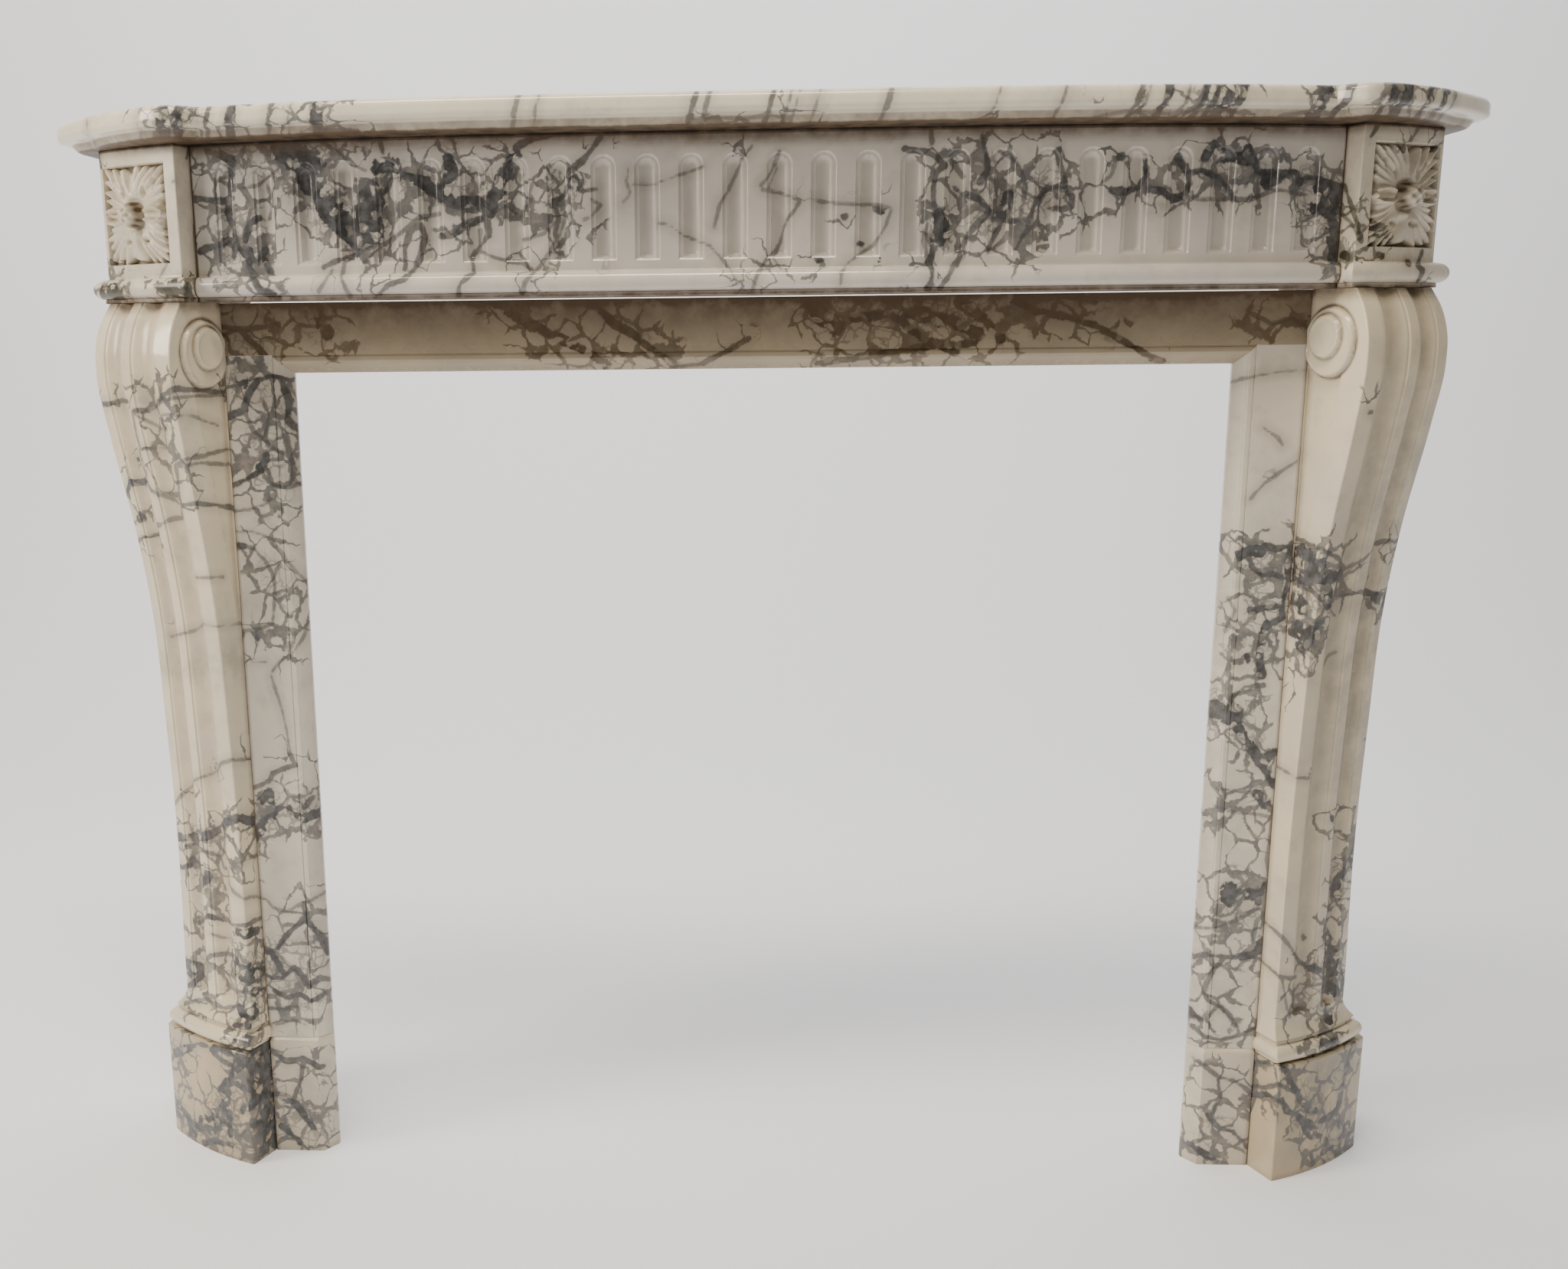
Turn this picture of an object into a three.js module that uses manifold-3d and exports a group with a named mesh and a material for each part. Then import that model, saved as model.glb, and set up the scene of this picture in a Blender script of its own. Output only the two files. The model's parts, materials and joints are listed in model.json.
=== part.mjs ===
// Marble fireplace mantel with a bowed front: a shelf, a fluted frieze, two blocks carved with
// rosettes, two scroll consoles on plinths, and an inner frame of slips round the fire opening.
// Millimetres, +Z up. The floor is z = 0, the front of the slips is y = 0, the room is towards
// -Y, and x = 0 is the middle. Every piece is a stone of its own.
import * as THREE from 'three';
import Module from 'manifold-3d';

const wasm = await Module();
wasm.setup();

const radians = (degrees) => THREE.MathUtils.degToRad(degrees);

// Driving sizes of the whole
const jointGap = 0.3;            // thin bed between neighbouring stones
const openingWidth = 940;
const openingHeight = 857;
const wallY = 150;               // the plane of the wall behind
const lintelHeight = 70;         // from the opening up to the joint over the consoles
const plinthHeight = 132;
const blockHeight = 147;
const shelfThickness = 28.4;
const openingHalf = openingWidth / 2;

// The jambs are turned outwards on one plan centre: an angle is measured from straight ahead
const cheekAngle = 23;           // inner cheek of console and block
const jointRadius = 264;         // where the inner cheeks meet the slips
const turnCentreX = openingHalf - 35;
const turnCentreY = jointRadius * Math.cos(radians(cheekAngle));
const shaftRadius = jointRadius + 27;
const plinthRadius = shaftRadius + 15;
const plinthAngle = 22.7;
const plinthEndAngle = 50;
const plinthEdge = 1.5;          // worn bright edge along the top

// Heights of the courses
const consoleFloor = plinthHeight + jointGap;
const consoleTop = openingHeight + lintelHeight;
const blockFloor = consoleTop + jointGap;
const blockTop = blockFloor + blockHeight;
const shelfFloor = blockTop + jointGap;
const shelfTop = shelfFloor + shelfThickness;

// Console
const neckEndAngle = 42.6;       // outer edge of the front, up in the scroll
const shaftEndAngle = 43.6;      // the same, down the shaft
const shaftFootEndAngle = 44.9;
const footRollRadius = 9.5;
const footReach = 4.5;           // how far the roll's centre stands before the shaft
const footEndAngle = 49.2;
const footGroove = 5;            // height of the sunk band over the roll
const footSweep = 22;            // height of the hollow that runs into the shaft
const cheekRoll = 6;             // how far the roll stands before the cheek
const cheekRollHeight = 15;
const cheekSweep = 2.5;
const fluteFoot = consoleFloor + 2 * footRollRadius + footGroove + footSweep + 1.2;
const fluteStopSlope = 5;
const fluteDepth = 6.5;
const fluteLip = 1.5;
const heelInset = 3;
const scrollHeight = consoleTop - 50;
const scrollRadius = shaftRadius + 2.5;
const discRadius = 33;
const discRise = 3.5;
const eyeRadius = 21;
const eyeRise = 3.5;
const eyeLift = 5.5;             // the eye sits above the disc's middle and nearer the slips
const eyeShift = 2.5;
const bandWidth = 32;            // raised band along the cheek's front edge
const fieldDepth = 3;
const outerDiscRadius = 21;
const outerDiscInset = 27;       // from the scroll's front to the outer disc's middle

// Frieze and corner blocks
const blockRadius = shaftRadius + 25;
const blockEndAngle = 44.4;
const [arrisX, arrisY] = turned(blockRadius, cheekAngle);
const [blockEndX, blockEndY] = turned(blockRadius, blockEndAngle);
const blockJointX = arrisX - 8.5;
const friezeMiddleY = arrisY - 30;
const friezeBackY = -3;
const rollRadius = 9.6;          // the roll moulding along the foot of frieze and blocks
const rollReach = 2.4;
const rollFillet = 4;
const rollFilletReach = 3.5;
const fluteCount = 26;
const fluteMargin = 25;          // from the frieze's end to its first flute
const fluteWidth = 24;
const fluteBottomRise = 34.5;    // above the underside of the frieze
const fluteTopDrop = 19.5;       // below the top of the frieze
const fluteStep = 1.6;
const channelWidth = 15;
const channelFloorWidth = 7;
const channelDepth = 5.8;
const channelHeadDrop = 4.6;
const panelSide = 94;
const panelDepth = 11;
const panelBottomRise = 37;      // above the underside of the block
const panelInset = 16;           // from the block's arris
const leafRise = 13;             // the rosette's leaves and bud, above the panel's ground
const budRise = 27;
const budRound = 13;

// Inner frame
const slipThickness = 20;
const slipMouldingWidth = 19;
const mouldingHeight = 18;
const beadWidth = 7;
const beadGroove = 1.6;
const splayDepth = 14;
const slipPlinthProud = 4;
const slipPlinthSplay = 13;
const slipPlinthBevel = 3;       // sloping ledge from the plinth's face up to the slip's
const lintelGap = 1;             // light shows between lintel and frieze

// Shelf
const shelfMiddleY = friezeMiddleY - 53;

const marble = (color, roughness) => new THREE.MeshStandardMaterial({ color, roughness, metalness: 0 });
const marbles = {
  shelf: marble(0xd6cfc4, 0.25),
  frieze: marble(0xcbc3bb, 0.25),
  block: marble(0xd3ccbd, 0.3),
  console: marble(0xc9bfb0, 0.3),
  plinth: marble(0xc4c0bb, 0.35),
  slip: marble(0xc8c5c1, 0.3),
};

// Point on the plan at a radius from the turning centre, angle in degrees
function turned(radius, angle) {
  const a = radians(angle);
  return [turnCentreX + radius * Math.sin(a), turnCentreY - radius * Math.cos(a)];
}

// Angle that an arc length takes up at a radius
const arcAngle = (length, radius) => THREE.MathUtils.radToDeg(length / radius);

// Closed solid through rings of equally many points, with a flat or folded cap at each end.
// A ring is a list of [x, y, z]; flat(point) gives the two coordinates that the caps use.
function loft(rings, flat = ([x, y]) => [x, y]) {
  const count = rings[0].length;
  const points = rings.flat();
  const triangles = [];
  for (let level = 0; level + 1 < rings.length; level++) {
    for (let i = 0; i < count; i++) {
      const a = level * count + i;
      const b = level * count + ((i + 1) % count);
      triangles.push([a, b, b + count], [a, b + count, a + count]);
    }
  }
  const cap = (ring) => {
    const outline = ring.map((point) => new THREE.Vector2(...flat(point)));
    const turn = Math.sign(THREE.ShapeUtils.area(outline));
    return THREE.ShapeUtils.triangulateShape(outline, []).map(([i, j, k]) => {
      const [p, q, r] = [outline[i], outline[j], outline[k]];
      const area = (q.x - p.x) * (r.y - p.y) - (r.x - p.x) * (q.y - p.y);
      return area * turn > 0 ? [i, j, k] : [i, k, j];
    });
  };
  const last = (rings.length - 1) * count;
  for (const [i, j, k] of cap(rings[0])) triangles.push([i, k, j]);
  for (const [i, j, k] of cap(rings.at(-1))) triangles.push([last + i, last + j, last + k]);
  return solidFrom(points, triangles);
}

// Manifold solid from points and triangles, turned inside out when its volume is negative
function solidFrom(points, triangles) {
  let volume = 0;
  for (const [i, j, k] of triangles) {
    const [a, b, c] = [points[i], points[j], points[k]];
    volume += a[0] * (b[1] * c[2] - b[2] * c[1]) - a[1] * (b[0] * c[2] - b[2] * c[0])
      + a[2] * (b[0] * c[1] - b[1] * c[0]);
  }
  const order = volume > 0 ? triangles : triangles.map(([i, j, k]) => [i, k, j]);
  return new wasm.Manifold(new wasm.Mesh({
    numProp: 3,
    vertProperties: new Float32Array(points.flat()),
    triVerts: new Uint32Array(order.flat()),
  }));
}

// Named mesh of a solid; side -1 mirrors it to the left jamb
function stone(name, solid, material, side = 1) {
  const { vertProperties, triVerts } = solid.getMesh();
  const positions = Float32Array.from(vertProperties, (v, i) => (i % 3 === 0 ? v * side : v));
  const order = Uint32Array.from(triVerts);
  if (side < 0) {
    for (let i = 0; i < order.length; i += 3) [order[i + 1], order[i + 2]] = [order[i + 2], order[i + 1]];
  }
  const geometry = new THREE.BufferGeometry();
  geometry.setAttribute('position', new THREE.BufferAttribute(positions, 3));
  geometry.setIndex(new THREE.BufferAttribute(order, 1));
  geometry.computeVertexNormals();
  const mesh = new THREE.Mesh(geometry, material.clone());
  mesh.name = name;
  return mesh;
}

// Places local points [across, up, out] on an upright plane: across follows the angle from +X
// towards +Y, and out is square to it, towards the room
function facing(origin, angle) {
  const a = radians(angle);
  return ([across, up, out]) => [
    origin[0] + across * Math.cos(a) + out * Math.sin(a),
    origin[1] + across * Math.sin(a) - out * Math.cos(a),
    origin[2] + up,
  ];
}

// Flat disc with an eased rim, its axis square to the plane of a placing function, and cut off
// straight where it would pass the limit on its inner side
function disc(place, radius, rise, sunk, limit = radius, sides = 20) {
  const ring = (r, out) => Array.from({ length: sides }, (_, i) => {
    const a = ((i + 0.5) / sides) * 2 * Math.PI;
    return [Math.max(r * Math.cos(a), -limit), r * Math.sin(a), out];
  });
  const ease = rise * 0.5;
  const rings = [ring(radius, -sunk), ring(radius, rise - ease), ring(radius - ease, rise)];
  return loft(rings.map((points) => points.map(place)), (point) => {
    const [x, y, z] = point;
    const [ox, oy, oz] = place([0, 0, 0]);
    const [ax, ay] = [place([1, 0, 0])[0] - ox, place([1, 0, 0])[1] - oy];
    return [(x - ox) * ax + (y - oy) * ay, z - oz];
  });
}

// Half-round moulding as [height, reach] pairs from its underside up
function halfRound(bottom, radius, reach, steps) {
  return Array.from({ length: steps + 1 }, (_, i) => {
    const a = radians(-90 + (180 * i) / steps);
    return [bottom + radius + radius * Math.sin(a), reach + radius * Math.cos(a)];
  });
}

// Plinth under a console
function plinth(side) {
  const steps = 7;
  const ring = (z, inset) => {
    const radius = plinthRadius - inset;
    const front = Array.from({ length: steps + 1 }, (_, i) => {
      const start = plinthAngle + arcAngle(inset, radius);
      const end = plinthEndAngle - arcAngle(inset, radius);
      return turned(radius, start + ((end - start) * i) / steps);
    });
    const inner = turned(jointRadius, plinthAngle);
    const outerX = front.at(-1)[0];
    const outline = [inner, ...front, [outerX, wallY], [inner[0], wallY]];
    return outline.map(([x, y]) => [x, y, z]);
  };
  const rings = [ring(0, 0), ring(plinthHeight - plinthEdge, 0), ring(plinthHeight, plinthEdge)];
  return stone(`console_plinth_${side < 0 ? 'left' : 'right'}`, loft(rings), marbles.plinth, side);
}

// How far the console's front swings out of the shaft towards the scroll, down from its top
const scrollCurve = new THREE.CatmullRomCurve3([
  [31, 0], [42, 17], [50.5, 42], [52, 72], [43.5, 127], [23.5, 227], [10, 327], [4.7, 427], [0, 577],
  [0, consoleTop - fluteFoot - 5],
].map(([out, drop]) => new THREE.Vector3(out, consoleTop - drop, 0)));

function scrollReach(z) {
  let [low, high] = [0, 1];
  for (let i = 0; i < 30; i++) {
    const middle = (low + high) / 2;
    if (scrollCurve.getPoint(middle).y > z) low = middle;
    else high = middle;
  }
  return Math.max(0, scrollCurve.getPoint(low).x);
}

// Share of the front's width and depth of the two flutes, from the inner arris outwards
function consoleFlutes() {
  const lip = 0.03;
  const edge = 0.004;
  const cove = [[0.25, 0.72], [0.5, 1], [0.75, 0.72]];
  const flute = (start, end) => [
    [start, 0], [start + edge, fluteLip], [start + lip, fluteLip],
    ...cove.map(([share, depth]) => [
      start + lip + (end - start - 2 * lip) * share,
      fluteLip + (fluteDepth - fluteLip) * depth,
    ]),
    [end - lip, fluteLip], [end - edge, fluteLip], [end, 0],
  ];
  return [[0, 0], ...flute(0.165, 0.475), ...flute(0.58, 0.845), [1, 0]];
}

// Angle of the front's outer edge at a height: it narrows from the foot to the scroll
function outerEdge(z) {
  const ease = THREE.MathUtils.smoothstep;
  const [knee, neck] = [consoleTop - 507, consoleTop - 227];
  const low = shaftFootEndAngle + (shaftEndAngle - shaftFootEndAngle) * ease(z, fluteFoot, knee);
  return low + (neckEndAngle - shaftEndAngle) * ease(z, knee, neck);
}

// Levels of the console from the floor up: how far the foot mouldings stand before the front and
// before the cheek, the share of the foot's outward spread, and the share of the flutes' depth
function consoleLevels() {
  const rollTop = consoleFloor + 2 * footRollRadius;
  const grooveTop = rollTop + footGroove;
  const cheekMiddle = rollTop - 0.8 - cheekRollHeight / 2;
  const cheekBulge = (z) => Math.sqrt(Math.max(0, 1 - ((z - cheekMiddle) / (cheekRollHeight / 2)) ** 2));
  const levels = halfRound(consoleFloor, footRollRadius, footReach, 6).map(([z, foot]) => {
    const spread = 0.75 + (0.25 * (foot - footReach)) / footRollRadius;
    return { z, foot, cheek: cheekRoll * cheekBulge(z), spread, fluting: 0 };
  });
  levels.push({ z: grooveTop, foot: footReach, cheek: 0, spread: 0.7, fluting: 0 });
  const lip = { foot: footReach + 2, cheek: cheekSweep, spread: 0.74 };
  for (const [share, left] of [[0.02, 1], [0.2, 0.7], [0.5, 0.33], [1, 0]]) {
    const z = grooveTop + footSweep * share;
    levels.push({ z, foot: lip.foot * left, cheek: lip.cheek * left, spread: lip.spread * left, fluting: 0 });
  }
  const shaft = (z, fluting) => levels.push({ z, foot: 0, cheek: 0, spread: 0, fluting });
  shaft(fluteFoot, 0);
  shaft(fluteFoot + fluteStopSlope, 1);
  for (const drop of [627, 527, 437, 367, 307, 247, 197, 152, 112, 82, 59, 39, 24, 12]) {
    shaft(consoleTop - drop, 1);
  }
  shaft(consoleTop, 1);
  return levels;
}

function consoleRing({ z, foot, cheek, spread, fluting }) {
  const base = shaftRadius + foot;
  const radius = base + scrollReach(z);
  const start = cheekAngle - arcAngle(cheek, radius);
  const end = outerEdge(z) + (footEndAngle - shaftFootEndAngle) * spread;
  const front = consoleFlutes().map(([share, depth]) => {
    return turned(radius - depth * fluting, start + (end - start) * share);
  });
  const inner = turned(jointRadius, cheekAngle);
  const shoulderRadius = jointRadius + 1.5;
  const shoulder = turned(shoulderRadius, cheekAngle - arcAngle(cheek, shoulderRadius));
  const heel = turned(base - heelInset, end);
  return [inner, shoulder, ...front, heel, [heel[0], wallY], [inner[0], wallY]].map(([x, y]) => [x, y, z]);
}

// Sunk field of the cheek, between the slip and the raised band that runs into the scroll
function cheekField() {
  const place = facing([...turned(jointRadius, cheekAngle), 0], cheekAngle - 90);
  const cheek = (radius, z) => [radius - jointRadius, z];
  const bottom = consoleTop - 327;
  const top = scrollHeight - discRadius * 0.8;
  const outline = [cheek(jointRadius - 2, bottom), cheek(jointRadius + 2, bottom)];
  for (const z of [262, 227, 187, 147].map((drop) => consoleTop - drop).concat(top)) {
    outline.push(cheek(shaftRadius + scrollReach(z) - bandWidth, z));
  }
  outline.push(cheek(jointRadius - 2, top));
  const ring = (out) => outline.map(([across, up]) => place([across, up, out]));
  return loft([ring(-fieldDepth), ring(fieldDepth)], ([x, y, z]) => [y, z]);
}

function scrollConsole(side) {
  let solid = loft(consoleLevels().map(consoleRing));
  solid = solid.subtract(cheekField());
  const innerPlace = facing([...turned(scrollRadius, cheekAngle), scrollHeight], cheekAngle - 90);
  const eyeMiddle = turned(scrollRadius - eyeShift, cheekAngle);
  const eyePlace = facing([...eyeMiddle, scrollHeight + eyeLift], cheekAngle - 90);
  const toJoint = scrollRadius - jointRadius - 2 * jointGap;
  const sunk = fieldDepth + 1;
  solid = solid.add(disc(innerPlace, discRadius, discRise, sunk, toJoint));
  solid = solid.add(disc(eyePlace, eyeRadius, discRise + eyeRise, sunk, toJoint - eyeShift));
  const outerRadius = shaftRadius + scrollReach(scrollHeight) - outerDiscInset;
  const outerPlace = facing([...turned(outerRadius, neckEndAngle), scrollHeight], neckEndAngle + 90);
  solid = solid.add(disc(outerPlace, outerDiscRadius, discRise, 1));
  return stone(`console_${side < 0 ? 'left' : 'right'}`, solid, marbles.console, side);
}

// Roll moulding shared by the frieze and the blocks, as [height, reach] from the underside up
function rollProfile() {
  return [
    [blockFloor, rollFilletReach], [blockFloor + rollFillet, rollFilletReach],
    ...halfRound(blockFloor + rollFillet + 0.2, rollRadius, rollReach, 6),
    [blockFloor + rollFillet + 2 * rollRadius + 0.6, 0], [blockTop, 0],
  ];
}

function blockRing(z, reach) {
  const steps = 6;
  const radius = blockRadius + reach;
  const start = cheekAngle - arcAngle(reach, radius);
  const end = blockEndAngle + arcAngle(reach, radius);
  const front = Array.from({ length: steps + 1 }, (_, i) => {
    return turned(radius, start + ((end - start) * i) / steps);
  });
  const [arrisX, arrisY] = front[0];
  const returnY = arrisY + (arrisX - blockJointX) / Math.tan(radians(cheekAngle));
  const outline = [[blockJointX, returnY], ...front, [front.at(-1)[0], wallY], [blockJointX, wallY]];
  return outline.map(([x, y]) => [x, y, z]);
}

// Height of the carved rosette over its ground, at a share t of the leaf's length and an angle:
// four leaves to the corners, four to the sides, and a round bud in the middle
function rosetteHeight(t, angle) {
  const bud = 0.3;
  if (t < bud) return budRise - budRound + budRound * Math.sqrt(1 - (t / bud) ** 2);
  const rib = 0.5 + 0.5 * Math.cos(8 * angle);
  const along = Math.sin(Math.PI * Math.min(1, 0.15 + 0.95 * (t - bud) / (1 - bud)));
  return 2 + (leafRise - 2) * (0.35 + 0.65 * rib) * (0.35 + 0.65 * along);
}

function rosetteReach(angle) {
  const square = (panelSide / 2 - 2) / Math.max(Math.abs(Math.cos(angle)), Math.abs(Math.sin(angle)));
  return square * (0.88 + 0.1 * Math.cos(8 * angle));
}

function rosette(place) {
  const sides = 40;
  const shares = [1, 0.85, 0.68, 0.5, 0.34, 0.27, 0.14];
  const sunk = -2;
  const ring = (t, out) => Array.from({ length: sides }, (_, i) => {
    const a = (i / sides) * 2 * Math.PI;
    const r = rosetteReach(a) * t;
    return place([r * Math.cos(a), r * Math.sin(a), out === undefined ? rosetteHeight(t, a) : out]);
  });
  const across = ([x, y, z]) => {
    const [ox, oy] = place([0, 0, 0]);
    const [ax, ay] = place([1, 0, 0]);
    return [(x - ox) * (ax - ox) + (y - oy) * (ay - oy), z];
  };
  return loft([ring(1, sunk), ...shares.map((t) => ring(t))], across);
}

function cornerBlock(side) {
  const centreAngle = cheekAngle + arcAngle(panelInset + panelSide / 2, blockRadius);
  const half = panelSide / 2;
  const ground = turned(blockRadius - panelDepth, centreAngle);
  const place = facing([...ground, blockFloor + panelBottomRise + half], centreAngle);
  const square = (out) => [[-half, -half], [half, -half], [half, half], [-half, half]]
    .map(([across, up]) => place([across, up, out]));
  const recess = loft([square(0), square(panelDepth + 5)], ([x, , z]) => [x, z]);
  let solid = loft(rollProfile().map(([z, reach]) => blockRing(z, reach)));
  solid = solid.subtract(recess).add(rosette(place));
  return stone(`corner_block_${side < 0 ? 'left' : 'right'}`, solid, marbles.block, side);
}

// The frieze's bow: nearly flat in the middle, rounding back to the joints
const friezeEndX = blockJointX - jointGap;
const flutePitch = (2 * (friezeEndX - fluteMargin) - fluteWidth) / (fluteCount - 1);
const friezeBow = blockRing(0, 0)[0][1] - friezeMiddleY;
const friezeFront = (x) => {
  const u = x / blockJointX;
  return friezeMiddleY + friezeBow * (0.2 * u ** 2 + 0.8 * u ** 4);
};

// Arch-headed flute cutter with a sloping stop below; local [across, up, out], out of the face
function fluteCutter(place) {
  const headSteps = 5;
  const bottom = blockFloor + fluteBottomRise;
  const top = blockTop - fluteTopDrop;
  const arch = (width, foot, head, out) => {
    const r = width / 2;
    const curve = Array.from({ length: headSteps + 1 }, (_, i) => {
      const a = (Math.PI * i) / headSteps;
      return [r * Math.cos(a), head - r + r * Math.sin(a), out];
    });
    return [[-r, foot, out], [r, foot, out], ...curve].map(place);
  };
  const stop = bottom - 2.5;
  const flatten = ([x, , z]) => [x, z];
  const frame = loft([
    arch(fluteWidth, bottom, top, -fluteStep), arch(fluteWidth, stop, top, 0), arch(fluteWidth, stop, top, 3),
  ], flatten);
  const head = top - channelHeadDrop;
  const channel = loft([
    arch(channelFloorWidth, bottom + 4, head - 3, -channelDepth),
    arch(channelWidth, bottom + 0.5, head, 0.5 - fluteStep),
  ], flatten);
  return frame.add(channel);
}

function frieze() {
  const steps = 20;
  const ring = (z, reach) => {
    const front = Array.from({ length: steps + 1 }, (_, i) => {
      const x = friezeEndX * (-1 + (2 * i) / steps);
      return [x, friezeFront(x) - reach];
    });
    return [...front, [friezeEndX, friezeBackY], [-friezeEndX, friezeBackY]].map(([x, y]) => [x, y, z]);
  };
  let solid = loft(rollProfile().map(([z, reach]) => ring(z, reach)));
  for (let i = 0; i < fluteCount; i++) {
    const x = (i - (fluteCount - 1) / 2) * flutePitch;
    const slope = THREE.MathUtils.radToDeg(Math.atan2(friezeFront(x + 1) - friezeFront(x - 1), 2));
    solid = solid.subtract(fluteCutter(facing([x, friezeFront(x), 0], slope)));
  }
  return stone('frieze', solid, marbles.frieze);
}

// Moulding round the opening as [out of the opening, back from the face] pairs
function openingMoulding(width) {
  const line = width - beadWidth;
  return [[0, splayDepth], [line - 1, beadGroove], [line, 0], [width - 1.5, 0], [width - 0.75, beadGroove]];
}

function slip(side) {
  const outer = turned(jointRadius, cheekAngle)[0] - jointGap;
  const flat = openingHalf + slipMouldingWidth;
  const mitre = (x) => Math.min(1, (x - openingHalf) / slipMouldingWidth);
  const topAt = (x) => openingHeight + mouldingHeight * mitre(x) - jointGap;
  const outline = [
    ...openingMoulding(slipMouldingWidth).map(([across, back]) => [openingHalf + across, back]),
    [flat, 0], [outer, 0], [outer, slipThickness], [flat, slipThickness], [openingHalf, slipThickness],
  ];
  const bottom = plinthHeight + slipPlinthBevel + jointGap;
  const rings = [outline.map(([x, y]) => [x, y, bottom]), outline.map(([x, y]) => [x, y, topAt(x)])];
  return stone(`slip_${side < 0 ? 'left' : 'right'}`, loft(rings), marbles.slip, side);
}

function slipPlinth(side) {
  const outer = turned(jointRadius, plinthAngle)[0] - jointGap;
  const ring = (z, proud) => [
    [openingHalf, splayDepth], [openingHalf + slipPlinthSplay, -proud], [outer, -proud],
    [outer, slipThickness], [openingHalf, slipThickness],
  ].map(([x, y]) => [x, y, z]);
  const rings = [
    ring(0, slipPlinthProud), ring(plinthHeight, slipPlinthProud), ring(plinthHeight + slipPlinthBevel, 0),
  ];
  return stone(`slip_plinth_${side < 0 ? 'left' : 'right'}`, loft(rings), marbles.plinth, side);
}

function slipLintel() {
  const half = turned(jointRadius, cheekAngle)[0] - jointGap;
  const flatFloor = openingHeight + mouldingHeight;
  const top = blockFloor - lintelGap;
  const slabOutline = [[0, flatFloor], [0, top], [slipThickness, top], [slipThickness, flatFloor]];
  const slab = loft([-half, half].map((x) => slabOutline.map(([y, z]) => [x, y, z])), ([, y, z]) => [y, z]);
  const moulding = [
    ...openingMoulding(mouldingHeight).map(([up, back]) => [back, openingHeight + up]),
    [0, flatFloor], [0.5, flatFloor + 1], [slipThickness, flatFloor + 1], [slipThickness, flatFloor],
    [slipThickness, openingHeight],
  ];
  const endX = (z) => openingHalf + Math.min(1, (z - openingHeight) / mouldingHeight) * slipMouldingWidth;
  const ends = [-1, 1].map((end) => moulding.map(([y, z]) => [end * endX(z), y, z]));
  const strip = loft(ends, ([, y, z]) => [y, z]);
  return stone('slip_lintel', slab.add(strip), marbles.slip);
}

// Right half of the shelf's edge, from the dip over the frieze's joint to the back, and the line
// of the stones under it that its mouldings run in to. Both follow the block below: the first
// four points its arris, and the others its outer end.
const fromBlock = (nearArris, nearEnd) => [
  ...nearArris.map(([x, y]) => [arrisX + x, arrisY + y]),
  ...nearEnd.map(([x, y]) => [blockEndX + x, blockEndY + y]),
];
const shelfCorner = fromBlock(
  [[-39.5, -39], [-28.5, -50], [-14.5, -56], [18.5, -44]], [[-22, -66], [31, -7], [50, 24], [54, 43]],
);
const blockCorner = fromBlock(
  [[-13.5, 18], [-6.5, 11], [0, 0], [31.5, 14]], [[-28, -25], [0, 0], [0.4, 21], [0.4, 43]],
);

function shelfOutline() {
  const middleSteps = 7;
  const cornerSteps = 17;
  const spline = (points) => new THREE.SplineCurve(points.map(([x, y]) => new THREE.Vector2(x, y)));
  const [edge, inner] = [spline(shelfCorner), spline(blockCorner)];
  const right = [];
  for (let i = 0; i < middleSteps; i++) {
    const u = (i + 0.5) / (middleSteps + 0.5);
    const [dipX, dipY] = shelfCorner[0];
    const bow = (dipY - shelfMiddleY) * (0.18 * u ** 2 + 0.82 * u ** 4);
    const under = u * blockCorner[0][0];
    right.push({ edge: [u * dipX, shelfMiddleY + bow], inner: [under, friezeFront(under)] });
  }
  for (let i = 0; i <= cornerSteps; i++) {
    const at = (curve) => curve.getPoint(i / cornerSteps).toArray();
    right.push({ edge: at(edge), inner: at(inner) });
  }
  right.push({ edge: [shelfCorner.at(-1)[0], wallY], inner: [blockCorner.at(-1)[0], wallY] });
  const left = right.map(({ edge: [x, y], inner: [a, b] }) => ({ edge: [-x, y], inner: [-a, b] })).reverse();
  return [...left, ...right];
}

function shelf() {
  const outline = shelfOutline();
  const profile = [
    [34, 0], [23, 1.5], [18.5, 4.5], [16, 7.6], [14, 8.8], [4.5, 10.2], [1.2, 12], [0, 14.5],
    [0, shelfThickness - 7], [1.6, shelfThickness - 3.2], [4.8, shelfThickness - 0.9], [9, shelfThickness],
  ];
  const ring = (inset, rise) => outline.map(({ edge, inner }) => {
    const reach = Math.hypot(inner[0] - edge[0], inner[1] - edge[1]);
    const share = inset / reach;
    return [
      edge[0] + (inner[0] - edge[0]) * share,
      edge[1] + (inner[1] - edge[1]) * share,
      shelfFloor + rise,
    ];
  });
  return stone('shelf', loft(profile.map(([inset, rise]) => ring(inset, rise))), marbles.shelf);
}

// The group is moved so that its middle, from front to wall, stands over the origin
const mantel = new THREE.Group();
mantel.position.y = -(shelfMiddleY + wallY) / 2;
mantel.add(shelf(), frieze(), slipLintel());
for (const side of [-1, 1]) {
  mantel.add(cornerBlock(side), scrollConsole(side), plinth(side), slip(side), slipPlinth(side));
}

export default mantel;
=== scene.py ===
# %% [markdown]
# # A carved marble mantel
# The real object is a fireplace surround of white, grey-veined marble from about 1780: a shelf, a
# fluted frieze, two blocks with rosettes, two scroll consoles on plinths and a slim inner frame.
# The CAD model gives every stone its place. This lesson cuts each stone again as a much finer skin and
# gives it veins, polish, dark joints and painted shade in its hollows and under its overhangs.

# %% Load the imported model
import json
import math

import bmesh
import bpy
import numpy as np
from mathutils import Matrix

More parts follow.
